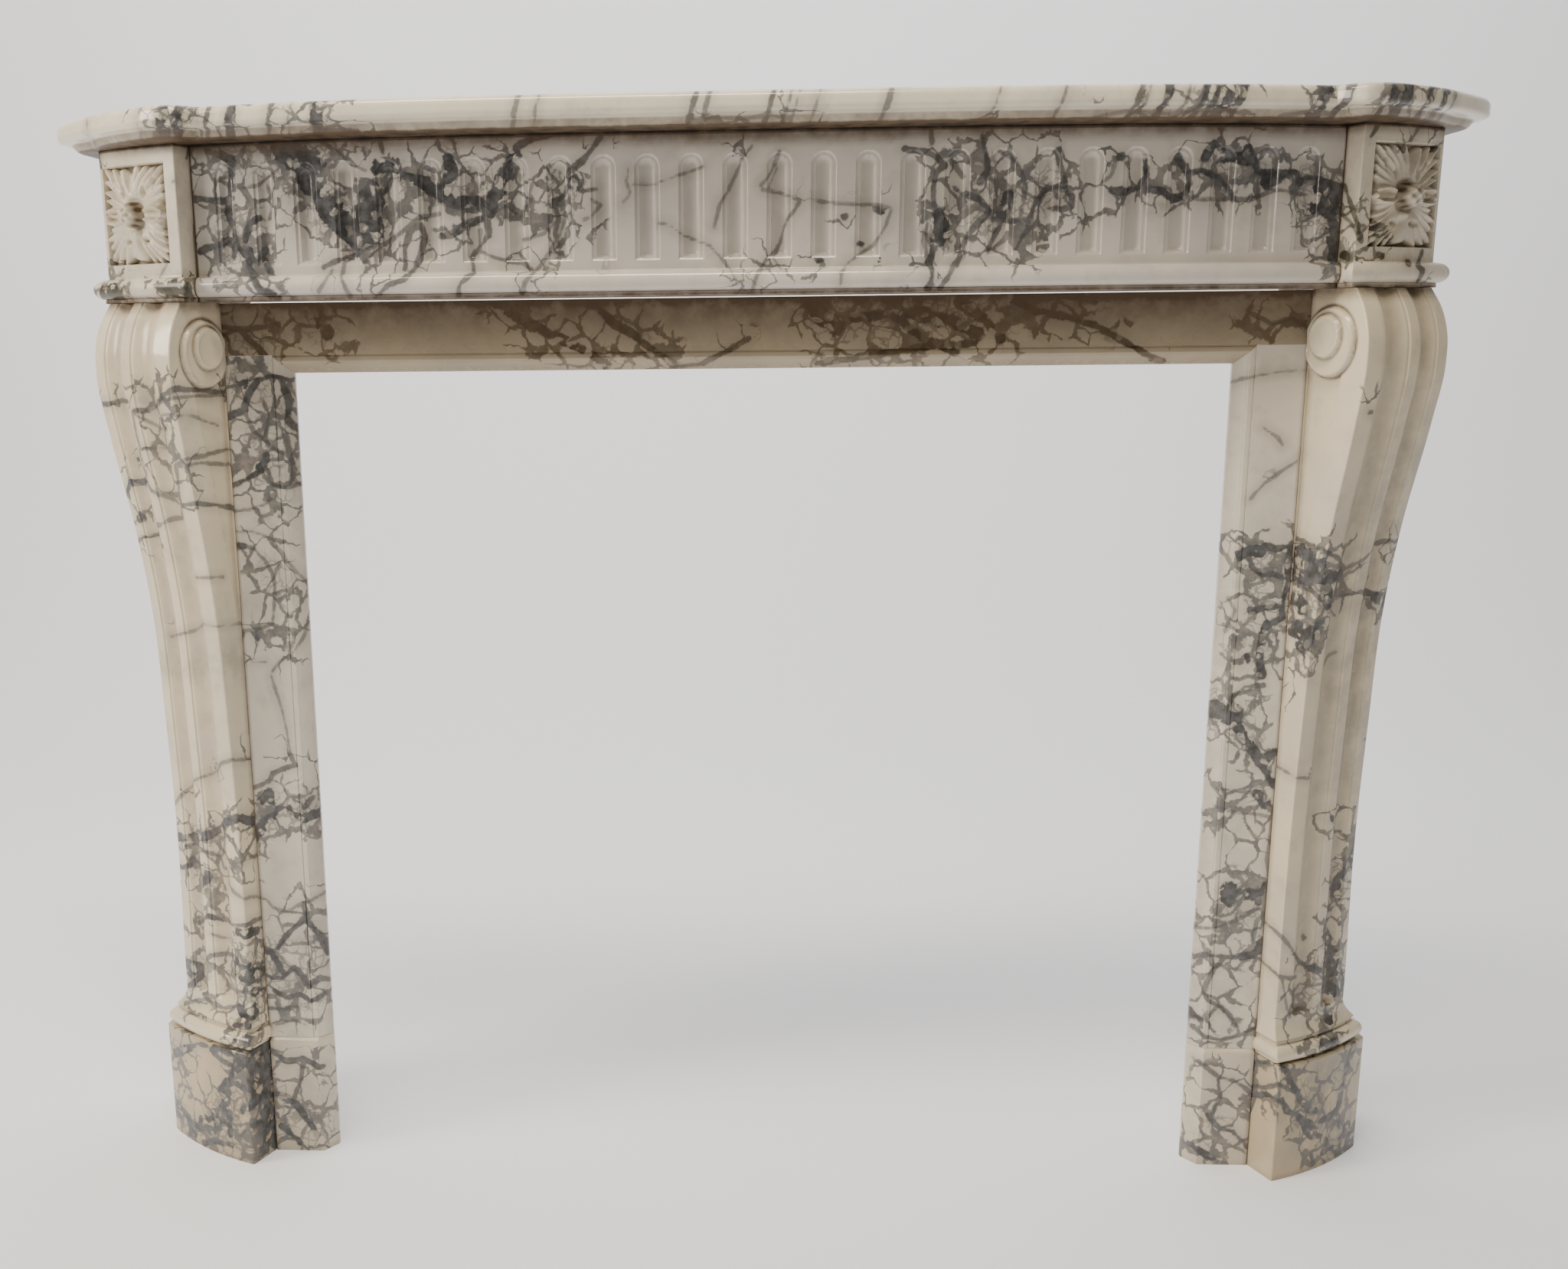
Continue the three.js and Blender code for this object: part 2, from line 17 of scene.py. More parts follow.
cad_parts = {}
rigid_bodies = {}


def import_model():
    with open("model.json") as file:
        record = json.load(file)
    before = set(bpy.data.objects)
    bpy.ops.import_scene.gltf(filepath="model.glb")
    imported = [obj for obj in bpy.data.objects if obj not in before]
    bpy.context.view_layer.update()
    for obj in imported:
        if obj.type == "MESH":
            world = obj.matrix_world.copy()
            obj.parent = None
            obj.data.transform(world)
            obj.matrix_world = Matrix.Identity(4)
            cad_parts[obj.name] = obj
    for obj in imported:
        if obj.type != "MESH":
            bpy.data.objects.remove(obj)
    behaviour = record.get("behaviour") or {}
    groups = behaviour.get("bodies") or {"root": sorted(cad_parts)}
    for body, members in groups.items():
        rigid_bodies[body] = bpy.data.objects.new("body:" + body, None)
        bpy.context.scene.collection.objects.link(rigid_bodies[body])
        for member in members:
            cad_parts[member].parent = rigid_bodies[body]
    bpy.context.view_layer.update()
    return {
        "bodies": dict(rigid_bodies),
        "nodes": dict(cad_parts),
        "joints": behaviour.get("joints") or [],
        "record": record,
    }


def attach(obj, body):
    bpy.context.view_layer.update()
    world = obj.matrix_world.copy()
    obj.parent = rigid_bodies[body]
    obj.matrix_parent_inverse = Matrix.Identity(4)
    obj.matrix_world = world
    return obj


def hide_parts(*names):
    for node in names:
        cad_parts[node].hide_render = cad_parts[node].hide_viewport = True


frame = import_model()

# %% [markdown]
# ## Sizes
# Everything is worked out in millimetres, in the mason's own frame: the floor is z = 0, the face of
# the inner frame is y = 0 and the room is towards -y. Each jamb is turned outwards on one centre
# on the plan, so a point of it is best given by its radius from that centre and an angle.

# %% Sizes shared by several stones
GAP = 0.3
OPENING_HALF, OPENING_TOP = 470.0, 857.0
WALL = 150.0
PLINTH_TOP = 132.0
CONSOLE_FLOOR, CONSOLE_TOP = 132.3, 927.0
BLOCK_FLOOR, BLOCK_TOP = 927.3, 1074.3
SHELF_FLOOR = 1074.6
CHEEK = math.radians(23)
JOINT_RADIUS, SHAFT_RADIUS, PLINTH_RADIUS, BLOCK_RADIUS = 264.0, 291.0, 306.0, 316.0
CENTRE_X, CENTRE_Y = OPENING_HALF - 35, JOINT_RADIUS * math.cos(CHEEK)
JOINT_X = CENTRE_X + JOINT_RADIUS * math.sin(CHEEK)
ARRIS_X = CENTRE_X + BLOCK_RADIUS * math.sin(CHEEK)
ARRIS_Y = CENTRE_Y - BLOCK_RADIUS * math.cos(CHEEK)
BLOCK_JOINT_X = ARRIS_X - 8.5
FRIEZE_MIDDLE_Y = ARRIS_Y - 30
SHELF_MIDDLE_Y = FRIEZE_MIDDLE_Y - 53
SHIFT_Y = -(SHELF_MIDDLE_Y + WALL) / 2


def turned(radius, angle):
    """Point on the plan: the centre, plus the radius times (sin angle, -cos angle)."""
    return CENTRE_X + radius * np.sin(angle), CENTRE_Y - radius * np.cos(angle)


def smooth(value, low, high):
    """Smooth step: 0 below low, 1 above high, and 3 t^2 - 2 t^3 between."""
    t = np.clip((value - low) / (high - low), 0, 1)
    return t * t * (3 - 2 * t)


def through(x, knots, values):
    """Smooth curve through given points: on each run, the cubic with the mean slopes at its ends."""
    knots, values = np.asarray(knots, float), np.asarray(values, float)
    slopes = np.gradient(values, knots)
    i = np.clip(np.searchsorted(knots, x) - 1, 0, len(knots) - 2)
    run = knots[i + 1] - knots[i]
    t = np.clip((x - knots[i]) / run, 0, 1)
    rise = values[i + 1] - values[i]
    return (values[i] + rise * t * t * (3 - 2 * t)
            + run * t * (1 - t) * (slopes[i] * (1 - t) - slopes[i + 1] * t))


print("the jambs turn on", round(CENTRE_X), round(CENTRE_Y))
print("the arris of each block is at", round(ARRIS_X, 1))

# %% [markdown]
# ## Veins
# In this marble grey veins run between pale lumps. They could be left to a random pattern, but the
# large veins are what one knows the stone by, so each face has its own routes, laid out in millimetres
# on that face. The mesh carries the distance to the nearest vein, and the material roughens that
# distance with noise, which gives ragged natural edges.

# %% Distance to a vein, and how crowded the fine veins are
def veins(u, v, routes):
    """For each point (u, v): over all straight runs of all routes, the least of the distance to the
    run less half the vein's width, and how bold that vein is, its half width. In mm."""
    nearest, bold = np.full(np.shape(u), 60.0), np.ones(np.shape(u))
    for width, *route in routes:
        for (u0, v0), (u1, v1) in zip(route, route[1:]):
            du, dv = u1 - u0, v1 - v0
            t = np.clip(((u - u0) * du + (v - v0) * dv) / (du * du + dv * dv), 0, 1)
            distance = np.hypot(u - u0 - t * du, v - v0 - t * dv) - width / 2
            bold = np.where(distance < nearest, width / 2, bold)
            nearest = np.minimum(nearest, distance)
    return nearest, bold


def crowding(u, v, patches):
    """Sum over soft patches of strength times exp(-((u-cu)/ru)^2 - ((v-cv)/rv)^2), at most 1."""
    total = np.zeros(np.shape(u))
    for cu, cv, ru, rv, strength in patches:
        total += strength * np.exp(-((u - cu) / ru) ** 2 - ((v - cv) / rv) ** 2)
    return np.clip(total, 0, 1)


def marks(u, v, routes, crowds, hazes, dirt):
    """The attributes that the marble reads at every point of a stone."""
    u, v = np.broadcast_arrays(u, v)
    nearest, bold = veins(u, v, routes)
    crowd, haze = crowding(u, v, crowds), crowding(u, v, hazes)
    return {"vein": nearest, "bold": bold, "crowd": crowd, "haze": haze, "dirt": dirt}


# %% [markdown]
# ## From rings of points to a stone
# A stone is a closed skin: rings of points, each ring one section, joined by four-sided faces, with
# one flat face on each end. Arrises are rounded in the rings themselves, as a worn edge is.

# %% Skin and piece
def skin(rings):
    """Faces of a closed skin over rings[level, point]: quads from ring to ring, and two ends."""
    levels, around = rings.shape[:2]
    index = np.arange(levels * around).reshape(levels, around)
    low, high = index[:-1], index[1:]
    quads = np.stack([low, np.roll(low, -1, 1), np.roll(high, -1, 1), high], -1).reshape(-1, 4)
    return quads.tolist() + [index[0][::-1].tolist(), index[-1].tolist()]


def ring_of(*parts):
    """Joins stretches of a section end to end: each is a list of arrays that broadcast together."""
    shape = max((np.broadcast(*part).shape for part in parts), key=lambda s: s[0])
    wide = []
    for part in parts:
        full = (shape[0], np.broadcast(*part).shape[1])
        wide.append([np.broadcast_to(a, full) for a in part])
    return [np.concatenate(arrays, axis=1) for arrays in zip(*wide)]


def quarter(count=6):
    """The angles inside a quarter turn, without its ends."""
    return np.linspace(0, math.pi / 2, count)[1:-1]


def onto_arc(radius, angle, arris, a):
    """Rounded arris where a face meets an arc of the jamb: a quarter round of radius arris that ends
    on the arc, at angle + arris / radius."""
    return turned(radius - arris + arris * np.sin(a), angle + arris * (1 - np.cos(a)) / radius)


def off_arc(radius, angle, arris, a):
    """The same at the arc's other end: it starts on the arc, at angle - arris / radius."""
    return turned(radius - arris + arris * np.cos(a), angle - arris * (1 - np.sin(a)) / radius)


def straight(start, end, count):
    """Points strictly between two ends: start + (end - start) t, with t evenly from 0 to 1."""
    return start + (end - start) * (np.arange(1, count + 1) / (count + 1))


def stone(name, shells, nodes, side=1):
    """One object from shells of (rings in mm, fields): the mesh and its attributes, hung on the root
    body, with its nodes hidden.
    """
    points, faces, fields, base = [], [], {}, 0
    for rings, values in shells:
        faces += [[base + i for i in face] for face in skin(rings)]
        points.append(rings.reshape(-1, 3))
        base += len(points[-1])
        for key, value in values.items():
            fields.setdefault(key, []).append(np.broadcast_to(value, rings.shape[:2]).ravel())
    points = np.concatenate(points) * (side, 1, 1)
    mesh = bpy.data.meshes.new(name)
    mesh.from_pydata(((points + (0, SHIFT_Y, 0)) / 1000).tolist(), [], faces)
    for key, values in fields.items():
        mesh.attributes.new(key, "FLOAT", "POINT").data.foreach_set("value", np.concatenate(values))
    work = bmesh.new()
    work.from_mesh(mesh)
    bmesh.ops.recalc_face_normals(work, faces=work.faces)
    work.to_mesh(mesh)
    work.free()
    mesh.shade_smooth()
    mesh.set_sharp_from_angle(angle=math.radians(42))
    piece = bpy.data.objects.new(name, mesh)
    bpy.context.scene.collection.objects.link(piece)
    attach(piece, "root")
    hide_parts(*nodes)
    print(name, "has", sum(len(f) - 2 for f in faces), "triangles")
    return piece


# %% [markdown]
# ## The consoles
# Each jamb is one upright stone. Seen from the side it swings forward into a scroll; its front has
# two shallow flutes, its cheek a raised band that ends in a round eye. A lathe or a bevelled curve
# can't give that, but rings can: at every height the section is known.

# %% Console: profile of the foot and swing of the scroll
ARRIS = 1.6
ROLL_HEIGHT, BAND_TOP, HOLLOW_HEIGHT = 19.0, 24.4, 22.0
FLUTE_START, FLUTE_FULL = 179.5, 184.5
DISC_RHO, DISC_Z, DISC_RADIUS = 293.5, 877.0, 33.2
EYE_RHO, EYE_Z, EYE_RADIUS = 291.0, 882.5, 21.2
OUTER_DISC_INSET = 27.0


def scroll_reach(z):
    """How far the front stands before the shaft: a smooth curve through the mason's heights."""
    return through(z, [184.5, 350, 500, 600, 700, 800, 855, 885, 910, 927],
                   [0, 0, 4.7, 10, 23.5, 43.5, 52, 50.5, 42, 31])


def foot_profile(z):
    """Reach before front and cheek, and outward spread: a half round, a sunk band, then a hollow
    that dies away as (1 - t)^1.6."""
    rise = z - CONSOLE_FLOOR
    left = np.where(rise > 24.3, (1 - np.clip((rise - BAND_TOP) / HOLLOW_HEIGHT, 0, 1)) ** 1.6, 0)
    roll = np.sqrt(np.clip(1 - ((rise - 9.5) / 9.5) ** 2, 0, 1))
    side_roll = np.sqrt(np.clip(1 - ((rise - 10.7) / 7.5) ** 2, 0, 1))
    low = rise < 24.2
    front = np.where(low, 4.5 + 9.5 * roll, 6.5 * left)
    cheek = np.where(low, 6 * side_roll, 2.5 * left)
    spread = np.where(low, np.where(rise < ROLL_HEIGHT, 0.75 + 0.25 * roll, 0.7), 0.74 * left)
    return front, cheek, spread


def console_levels():
    """Heights of the rings: packed in the foot's mouldings, every 2.7 mm up the shaft, and every
    1.35 mm in the scroll."""
    half_round = ROLL_HEIGHT * (1 - np.cos(np.linspace(0, math.pi, 17))) / 2
    band = [19.3, 20.5, 23, 23.9, 24.15, 24.25, 24.35]
    hollow = BAND_TOP + HOLLOW_HEIGHT * np.linspace(0, 1, 14) ** 1.2
    stop = 47.2 + 5 * np.linspace(0, 1, 6)
    rise = np.concatenate([half_round, band, hollow, stop])
    shaft, scroll = np.arange(187.5, 834, 2.7), np.arange(834, 926, 1.35)
    return np.concatenate([CONSOLE_FLOOR + rise, shaft, scroll, [926.4, CONSOLE_TOP]])


FLUTES = ((0.165, 0.475), (0.58, 0.845))


def flute_depth(share):
    """Depth of the two flutes: a 1.5 mm step, then 5 mm more as 1 - (distance from the middle)^2."""
    depth = np.zeros(np.shape(share))
    for start, end in FLUTES:
        inner = np.clip((share - start) * (end - share) * 1e4, 0, 1)
        step = smooth(share, start, start + 0.009) * (1 - smooth(share, end - 0.009, end))
        cove = np.clip(1 - ((share - (start + end) / 2) / ((end - start) / 2 - 0.03)) ** 2, 0, 1)
        depth += inner * (1.5 * step + 5.0 * cove)
    return depth


# %% Console: relief of the cheek
def cheek_relief(rho, z):
    """Height over the cheek: -3 in the sunk field, +3.5 on the disc, +3.5 more on its eye, each
    with an eased edge, and a fine bead round both rims."""
    edge = SHAFT_RADIUS + scroll_reach(z) - 32
    field = -3 * (1 - smooth(rho, edge - 1.6, edge)) * smooth(z, 596, 640) * (1 - smooth(z, 850, 856))
    r = np.hypot(rho - DISC_RHO, z - DISC_Z)
    eye = np.hypot(rho - EYE_RHO, z - EYE_Z)
    disc = 3.5 * (1 - smooth(r, 31.4, DISC_RADIUS)) + 1.3 * np.exp(-((r - 29.8) / 2.2) ** 2)
    boss = 3.5 * (1 - smooth(eye, 19.6, EYE_RADIUS)) + np.exp(-((eye - 18.2) / 2.0) ** 2) * (r < 34)
    dish = -1.4 * np.clip(1 - (eye / 16) ** 2, 0, 1)
    return np.where(r < DISC_RADIUS, np.maximum(field, 0) + disc + boss + dish, field)


def console_section(z):
    """Section at heights z, inside round: cheek, front, outer side, back. Gives x, y, the distance from
    the arris along the face, and the painted shade there: in the grooves round the disc and eye, along
    the cheek's inner edge and in the flutes."""
    foot, cheek, spread = foot_profile(z)
    base = SHAFT_RADIUS + foot
    front = base + scroll_reach(z)
    start = CHEEK - cheek / front
    low = 44.9 - 1.3 * smooth(z, FLUTE_START, 420)
    end = np.radians(low - smooth(z, 420, 700) + 4.3 * spread)
    width = (end - start) * front
    fluting = smooth(z, FLUTE_START, FLUTE_FULL)

    rho = JOINT_RADIUS + (front - ARRIS - JOINT_RADIUS) * np.linspace(0, 1, 50)
    relief = cheek_relief(rho, z)
    out = np.maximum(relief, 0) * smooth(rho, JOINT_RADIUS, 265) + np.minimum(relief, 0)
    out = out + cheek * smooth(rho, JOINT_RADIUS, 266)
    x, y = turned(rho, CHEEK)
    disc, eye = np.hypot(rho - DISC_RHO, z - DISC_Z), np.hypot(rho - EYE_RHO, z - EYE_Z)
    # painted shade in the grooves round the disc and the eye, and along the cheek's inner edge by the
    # slip
    painted_shade = 0.9 * np.exp(-((disc - 34.4) / 1.6) ** 2) + 0.7 * np.exp(-((eye - 21.8) / 1.5) ** 2)
    painted_shade = painted_shade + 0.35 * smooth(-rho, -272, -JOINT_RADIUS)
    cheek_part = [x - out * math.cos(CHEEK), y - out * math.sin(CHEEK), rho - front, painted_shade]

    a = quarter()
    near = [*onto_arc(front, start, ARRIS, a), ARRIS * (1 - np.cos(a)) + 0 * z, 0 * a + 0 * z]

    beside = (-0.03, -0.009, -0.004, 0.0, 0.004, 0.009, 0.03)
    flute_edges = [edge + step for flute in FLUTES for edge in flute for step in beside]
    share = np.unique(np.concatenate([np.linspace(0.014, 0.986, 66), flute_edges]))
    depth = flute_depth(share) * fluting
    # the flutes get painted shade as they deepen
    front_part = [*turned(front - depth, start + (end - start) * share), width * share, 0.05 * depth]

    far = [*off_arc(front, end, ARRIS, a), width - ARRIS * (1 - np.sin(a)), 0 * a + 0 * z]

    back_radius = base - 3
    rho = back_radius + (front - ARRIS - back_radius) * np.linspace(1, 0, 22)
    disc = np.hypot(rho - (front - OUTER_DISC_INSET), z - DISC_Z)
    out = 3.5 * (1 - smooth(disc, 19.4, EYE_RADIUS)) * np.where(np.abs(z - DISC_Z) < 22, 1, 0)
    x, y = turned(rho, end)
    flank = [x + out * np.cos(end), y + out * np.sin(end), width + front - rho, 0 * rho]

    heel_x, heel_y = turned(back_radius, end)
    side_y = straight(heel_y, WALL, 12)
    side = [heel_x + 0 * side_y, side_y, width + 30 + 0 * side_y, 0 * heel_x]
    back = [straight(heel_x, JOINT_X, 4), WALL + 0 * z, width + 60 + 0 * z, 0 * z]
    inner = [JOINT_X + 0 * z, WALL + (0.4 - WALL) * np.linspace(0, 1, 8), -60 + 0 * z, 0 * z]
    return ring_of(cheek_part, near, front_part, far, flank, side, back, inner)


# %% Console: veins of the left and right stone
CONSOLE_VEINS = {
    -1: [
        (4, (-80, 838), (-40, 842), (0, 845), (15, 838), (25, 830), (40, 824), (60, 822)),
        (2.5, (-80, 836), (-40, 837), (0, 836), (20, 832)), (2, (-60, 806), (-40, 812), (-20, 818),
        (20, 820), (22, 805), (30, 805), (45, 812), (60, 820)),
        (2, (62, 822), (64, 800), (62, 785), (40, 786), (25, 786)),
        (2, (20, 820), (25, 790), (25, 786)), (6, (14, 836), (24, 831)), (5, (20, 806), (24, 812)), (3,
        (-80, 782), (-50, 780), (-30, 778), (0, 776), (15, 770), (18, 750), (20, 740), (22, 728)),
        (2.5, (-80, 770), (-60, 766), (-20, 771), (15, 769)),
        (2.2, (64, 785), (66, 770), (62, 760), (66, 752)), (6, (66, 752), (80, 750), (95, 748)),
        (5, (95, 748), (110, 735)), (3, (20, 740), (40, 738), (60, 742), (64, 750)),
        (3, (22, 728), (36, 734), (52, 738)),
        (4, (-60, 721), (-30, 727), (-10, 730), (0, 732), (22, 728)),
        (3, (22, 728), (28, 715), (40, 714), (55, 708), (65, 706)),
        (3.5, (66, 697), (80, 694), (95, 692), (112, 683)),
        (4, (68, 832), (85, 832), (95, 830), (112, 828)), (6, (90, 712), (95, 711)),
        (5, (76, 774), (80, 773)), (2, (-20, 653), (0, 655), (20, 654)), (1.5, (-70, 600), (-20, 602),
        (20, 605), (40, 595), (80, 585)), (2.5, (-28, 455), (-10, 458), (0, 460), (15, 455), (25, 445),
        (40, 438), (60, 430), (80, 415), (100, 398), (120, 380)), (9, (-28, 385), (-15, 390), (0, 395),
        (15, 390), (25, 382), (45, 370), (65, 363), (90, 358), (112, 357)), (3, (15, 388), (22, 372),
        (30, 352), (35, 345), (50, 350), (70, 355), (90, 350)), (2.5, (-25, 347), (0, 346), (15, 342),
        (20, 335), (20, 318), (12, 310), (0, 305), (-20, 302), (-30, 296)),
        (3, (20, 335), (32, 334), (35, 345)), (10, (52, 322), (58, 315)),
        (4, (58, 318), (70, 328), (82, 334)), (5, (82, 336), (88, 326), (100, 322), (114, 322)),
        (4, (-25, 275), (0, 275), (20, 272), (40, 274)), (6, (40, 274), (56, 276)),
        (4, (56, 276), (70, 268), (84, 260)), (8, (-18, 263), (12, 266)),
        (2, (20, 255), (40, 252), (55, 256)), (22, (-20, 214), (2, 214)), (9, (0, 228), (20, 232)),
        (4, (22, 236), (40, 234), (56, 230), (74, 218)), (5, (18, 232), (22, 215)),
        (10, (-22, 190), (-6, 196)), (9, (6, 200), (14, 185), (16, 170)), (14, (-6, 176), (12, 168)),
        (16, (88, 208), (100, 200)), (6, (84, 200), (96, 186), (112, 180)), (5, (96, 212), (114, 208)),
        (3, (22, 178), (40, 172), (70, 176), (114, 160)), (7, (2, 160), (22, 158)),
        (8, (0, 150), (6, 140)), (4, (20, 146), (26, 136)),
    ],
    1: [
        (4, (-55, 686), (-20, 681), (0, 677), (20, 668), (34, 657)),
        (3, (-52, 676), (-20, 672), (22, 660)), (20, (-46, 670), (-8, 664)),
        (16, (-46, 650), (-18, 648)), (14, (-42, 626), (-16, 618)), (12, (18, 652), (26, 652)),
        (5, (-52, 660), (-20, 662), (18, 652)), (8, (-50, 652), (-20, 652), (10, 646)),
        (4, (-48, 640), (-20, 640), (0, 632), (14, 620)), (9, (10, 636), (18, 624)),
        (2.5, (-38, 622), (-15, 612), (0, 606), (12, 606)), (20, (-24, 594), (-6, 592)),
        (14, (-16, 580), (-8, 574)), (7, (-30, 600), (4, 600)),
        (3, (20, 624), (35, 629), (55, 633), (72, 630)), (5, (72, 630), (95, 626)),
        (11, (88, 624), (100, 620), (114, 614)), (3, (34, 656), (50, 665), (62, 673), (72, 680)),
        (3.5, (72, 680), (90, 682), (100, 680), (114, 685)), (2, (90, 680), (96, 671), (114, 677)),
        (2, (25, 560), (30, 568), (40, 571)), (2.5, (-32, 450), (-10, 446), (18, 442)),
        (5, (56, 394), (59, 393)), (4, (106, 376), (104, 355), (96, 342)), (11, (96, 338), (106, 334)),
        (8, (92, 334), (84, 318), (80, 300)), (11, (80, 312), (82, 300), (76, 286), (66, 272)),
        (12, (62, 264), (74, 258)), (14, (74, 258), (82, 240), (92, 222)), (24, (84, 216), (94, 204)),
        (18, (78, 200), (100, 194)), (10, (72, 236), (72, 210)),
        (3, (-30, 280), (-10, 275), (0, 272), (10, 262), (20, 250)),
        (5, (20, 250), (35, 236), (50, 226)), (9, (50, 228), (70, 214)),
        (3, (-26, 235), (-5, 230), (8, 225), (30, 221)), (3, (5, 225), (10, 206), (15, 190), (20, 179)),
        (6, (-42, 531), (-38, 530)), (4, (14, 812), (17, 812)), (4, (36, 266), (38, 262)),
        (14, (78, 176), (80, 166)), (12, (64, 142), (90, 142)), (3, (94, 188), (112, 182)),
        (2, (100, 472), (108, 472)),
    ],
}
CONSOLE_CROWDS = {
    -1: [
        (30, 800, 40, 60, 0.45), (60, 345, 50, 40, 0.5), (20, 200, 60, 34, 0.75),
        (100, 200, 25, 25, 0.8),
    ],
    1: [(0, 640, 45, 40, 0.55), (60, 200, 55, 34, 0.65), (95, 330, 20, 40, 0.4)],
}
CONSOLE_HAZE = {
    -1: [
        (60, 552, 90, 22, 0.55), (-10, 575, 40, 30, 0.4), (40, 835, 40, 26, 0.6),
        (45, 700, 40, 30, 0.4),
    ],
    1: [(45, 210, 45, 30, 0.9), (0, 640, 50, 45, 0.5), (80, 600, 50, 260, 0.6)],
}

# %% Cut both consoles
SIDES = ((-1, "left"), (1, "right"))
for side, name in SIDES:
    z = console_levels()[:, None]
    x, y, along, dirt = console_section(z)
    rings = np.stack([x, y, z + 0 * x], -1)
    # painted shade under the block's roll at the top, and in the sunk band of the foot
    dirt = dirt + 0.75 * smooth(z, 912, 927) + 0.5 * np.exp(-((z - 155.5) / 1.6) ** 2)
    fields = marks(along, z, CONSOLE_VEINS[side], CONSOLE_CROWDS[side], CONSOLE_HAZE[side], dirt)
    piece = f"console_{name}"
    stone(piece + "_stone", [(rings, fields)], [piece], side)

# %% [markdown]
# ## The plinths
# A plinth is a plain wedge of marble under each console. Only its worn top edge catches the light,
# and its bold white and grey lumps are the show, so its skin is simple and its veins are not.

# %% Console plinths
PLINTH_CHEEK, PLINTH_END = math.radians(22.7), math.radians(50)
PLINTH_ARRIS, PLINTH_FRONT = 2.0, 143.0
PLINTH_VEINS = {
    -1: [
        (26, (-30, 116), (-27, 74), (-30, 18)), (14, (-8, 118), (-6, 70)),
        (9, (-46, 128), (-20, 131), (0, 127)), (7, (-44, 103), (-25, 110), (0, 122)),
        (6, (-44, 93), (-20, 96), (0, 102)), (10, (-44, 78), (-22, 82), (-6, 92)),
        (8, (-40, 60), (-20, 66)), (6, (-40, 40), (-20, 44), (0, 46)), (8, (-44, 22), (-24, 28)),
        (10, (-44, 8), (-10, 10)), (14, (6, 128), (14, 112)), (7, (24, 128), (40, 130), (54, 125)),
        (5, (20, 114), (34, 116), (50, 122)), (8, (22, 110), (26, 98), (34, 88), (44, 80)),
        (9, (4, 90), (22, 94), (34, 88)), (12, (32, 80), (38, 64), (46, 54)),
        (13, (48, 52), (58, 46), (68, 42)), (9, (32, 56), (36, 44), (32, 30)),
        (9, (40, 46), (50, 34), (62, 26), (80, 22)), (6, (82, 36), (86, 26)),
        (9, (80, 22), (100, 22), (118, 30), (150, 36)), (11, (104, 14), (124, 20), (150, 22)),
        (8, (98, 10), (110, 6)), (6, (30, 16), (60, 14), (80, 4)), (5, (60, 128), (78, 126), (92, 118)),
        (8, (92, 118), (108, 110)), (10, (112, 108), (130, 98)), (4, (130, 98), (146, 84), (156, 78)),
        (3, (98, 66), (112, 64)), (3, (98, 56), (104, 54)), (5, (8, 70), (12, 62)),
        (4, (8, 40), (18, 30)),
    ],
    1: [
        (4, (-46, 110), (-36, 122), (-18, 130)), (4, (-44, 92), (-20, 100), (0, 112), (14, 104)),
        (5, (-44, 80), (-24, 90), (-14, 94), (6, 94)), (6, (6, 92), (14, 80), (28, 72)),
        (7, (2, 131), (12, 122), (16, 108)), (9, (28, 72), (38, 62), (50, 56)),
        (8, (16, 108), (26, 98), (32, 88), (44, 76)), (7, (44, 74), (58, 70)),
        (5, (38, 60), (44, 48), (54, 38)), (5, (50, 52), (64, 48)), (9, (66, 54), (84, 56), (96, 60)),
        (8, (58, 44), (70, 34), (82, 24)), (6, (76, 16), (92, 16), (110, 4)),
        (12, (118, 131), (112, 112), (106, 96)), (9, (106, 96), (100, 78), (98, 60)),
        (8, (98, 60), (102, 42), (110, 32)), (16, (110, 28), (130, 22), (152, 18)),
        (14, (100, 10), (150, 8)), (10, (124, 34), (150, 28)), (5, (56, 18), (60, 6)),
        (3, (84, 44), (98, 46)), (2, (20, 60), (24, 54)),
    ],
}
PLINTH_CROWDS = {
    -1: [
        (-20, 70, 30, 90, 1.0), (12, 90, 16, 50, 0.85), (44, 40, 26, 34, 0.9), (80, 12, 60, 14, 0.8),
        (130, 50, 34, 60, 0.5),
    ],
    1: [
        (66, 92, 34, 40, 0.4), (40, 62, 16, 16, 0.7), (76, 40, 26, 20, 0.85), (120, 18, 40, 16, 0.8),
        (-20, 100, 30, 40, 0.4),
    ],
}
PLINTH_HAZE = {
    -1: [(-20, 66, 28, 90, 1.0), (30, 60, 30, 60, 1.0), (110, 12, 60, 24, 0.9)],
    1: [(72, 98, 60, 50, 1.0), (120, 20, 46, 30, 1.0), (60, 60, 60, 60, 0.7)],
}


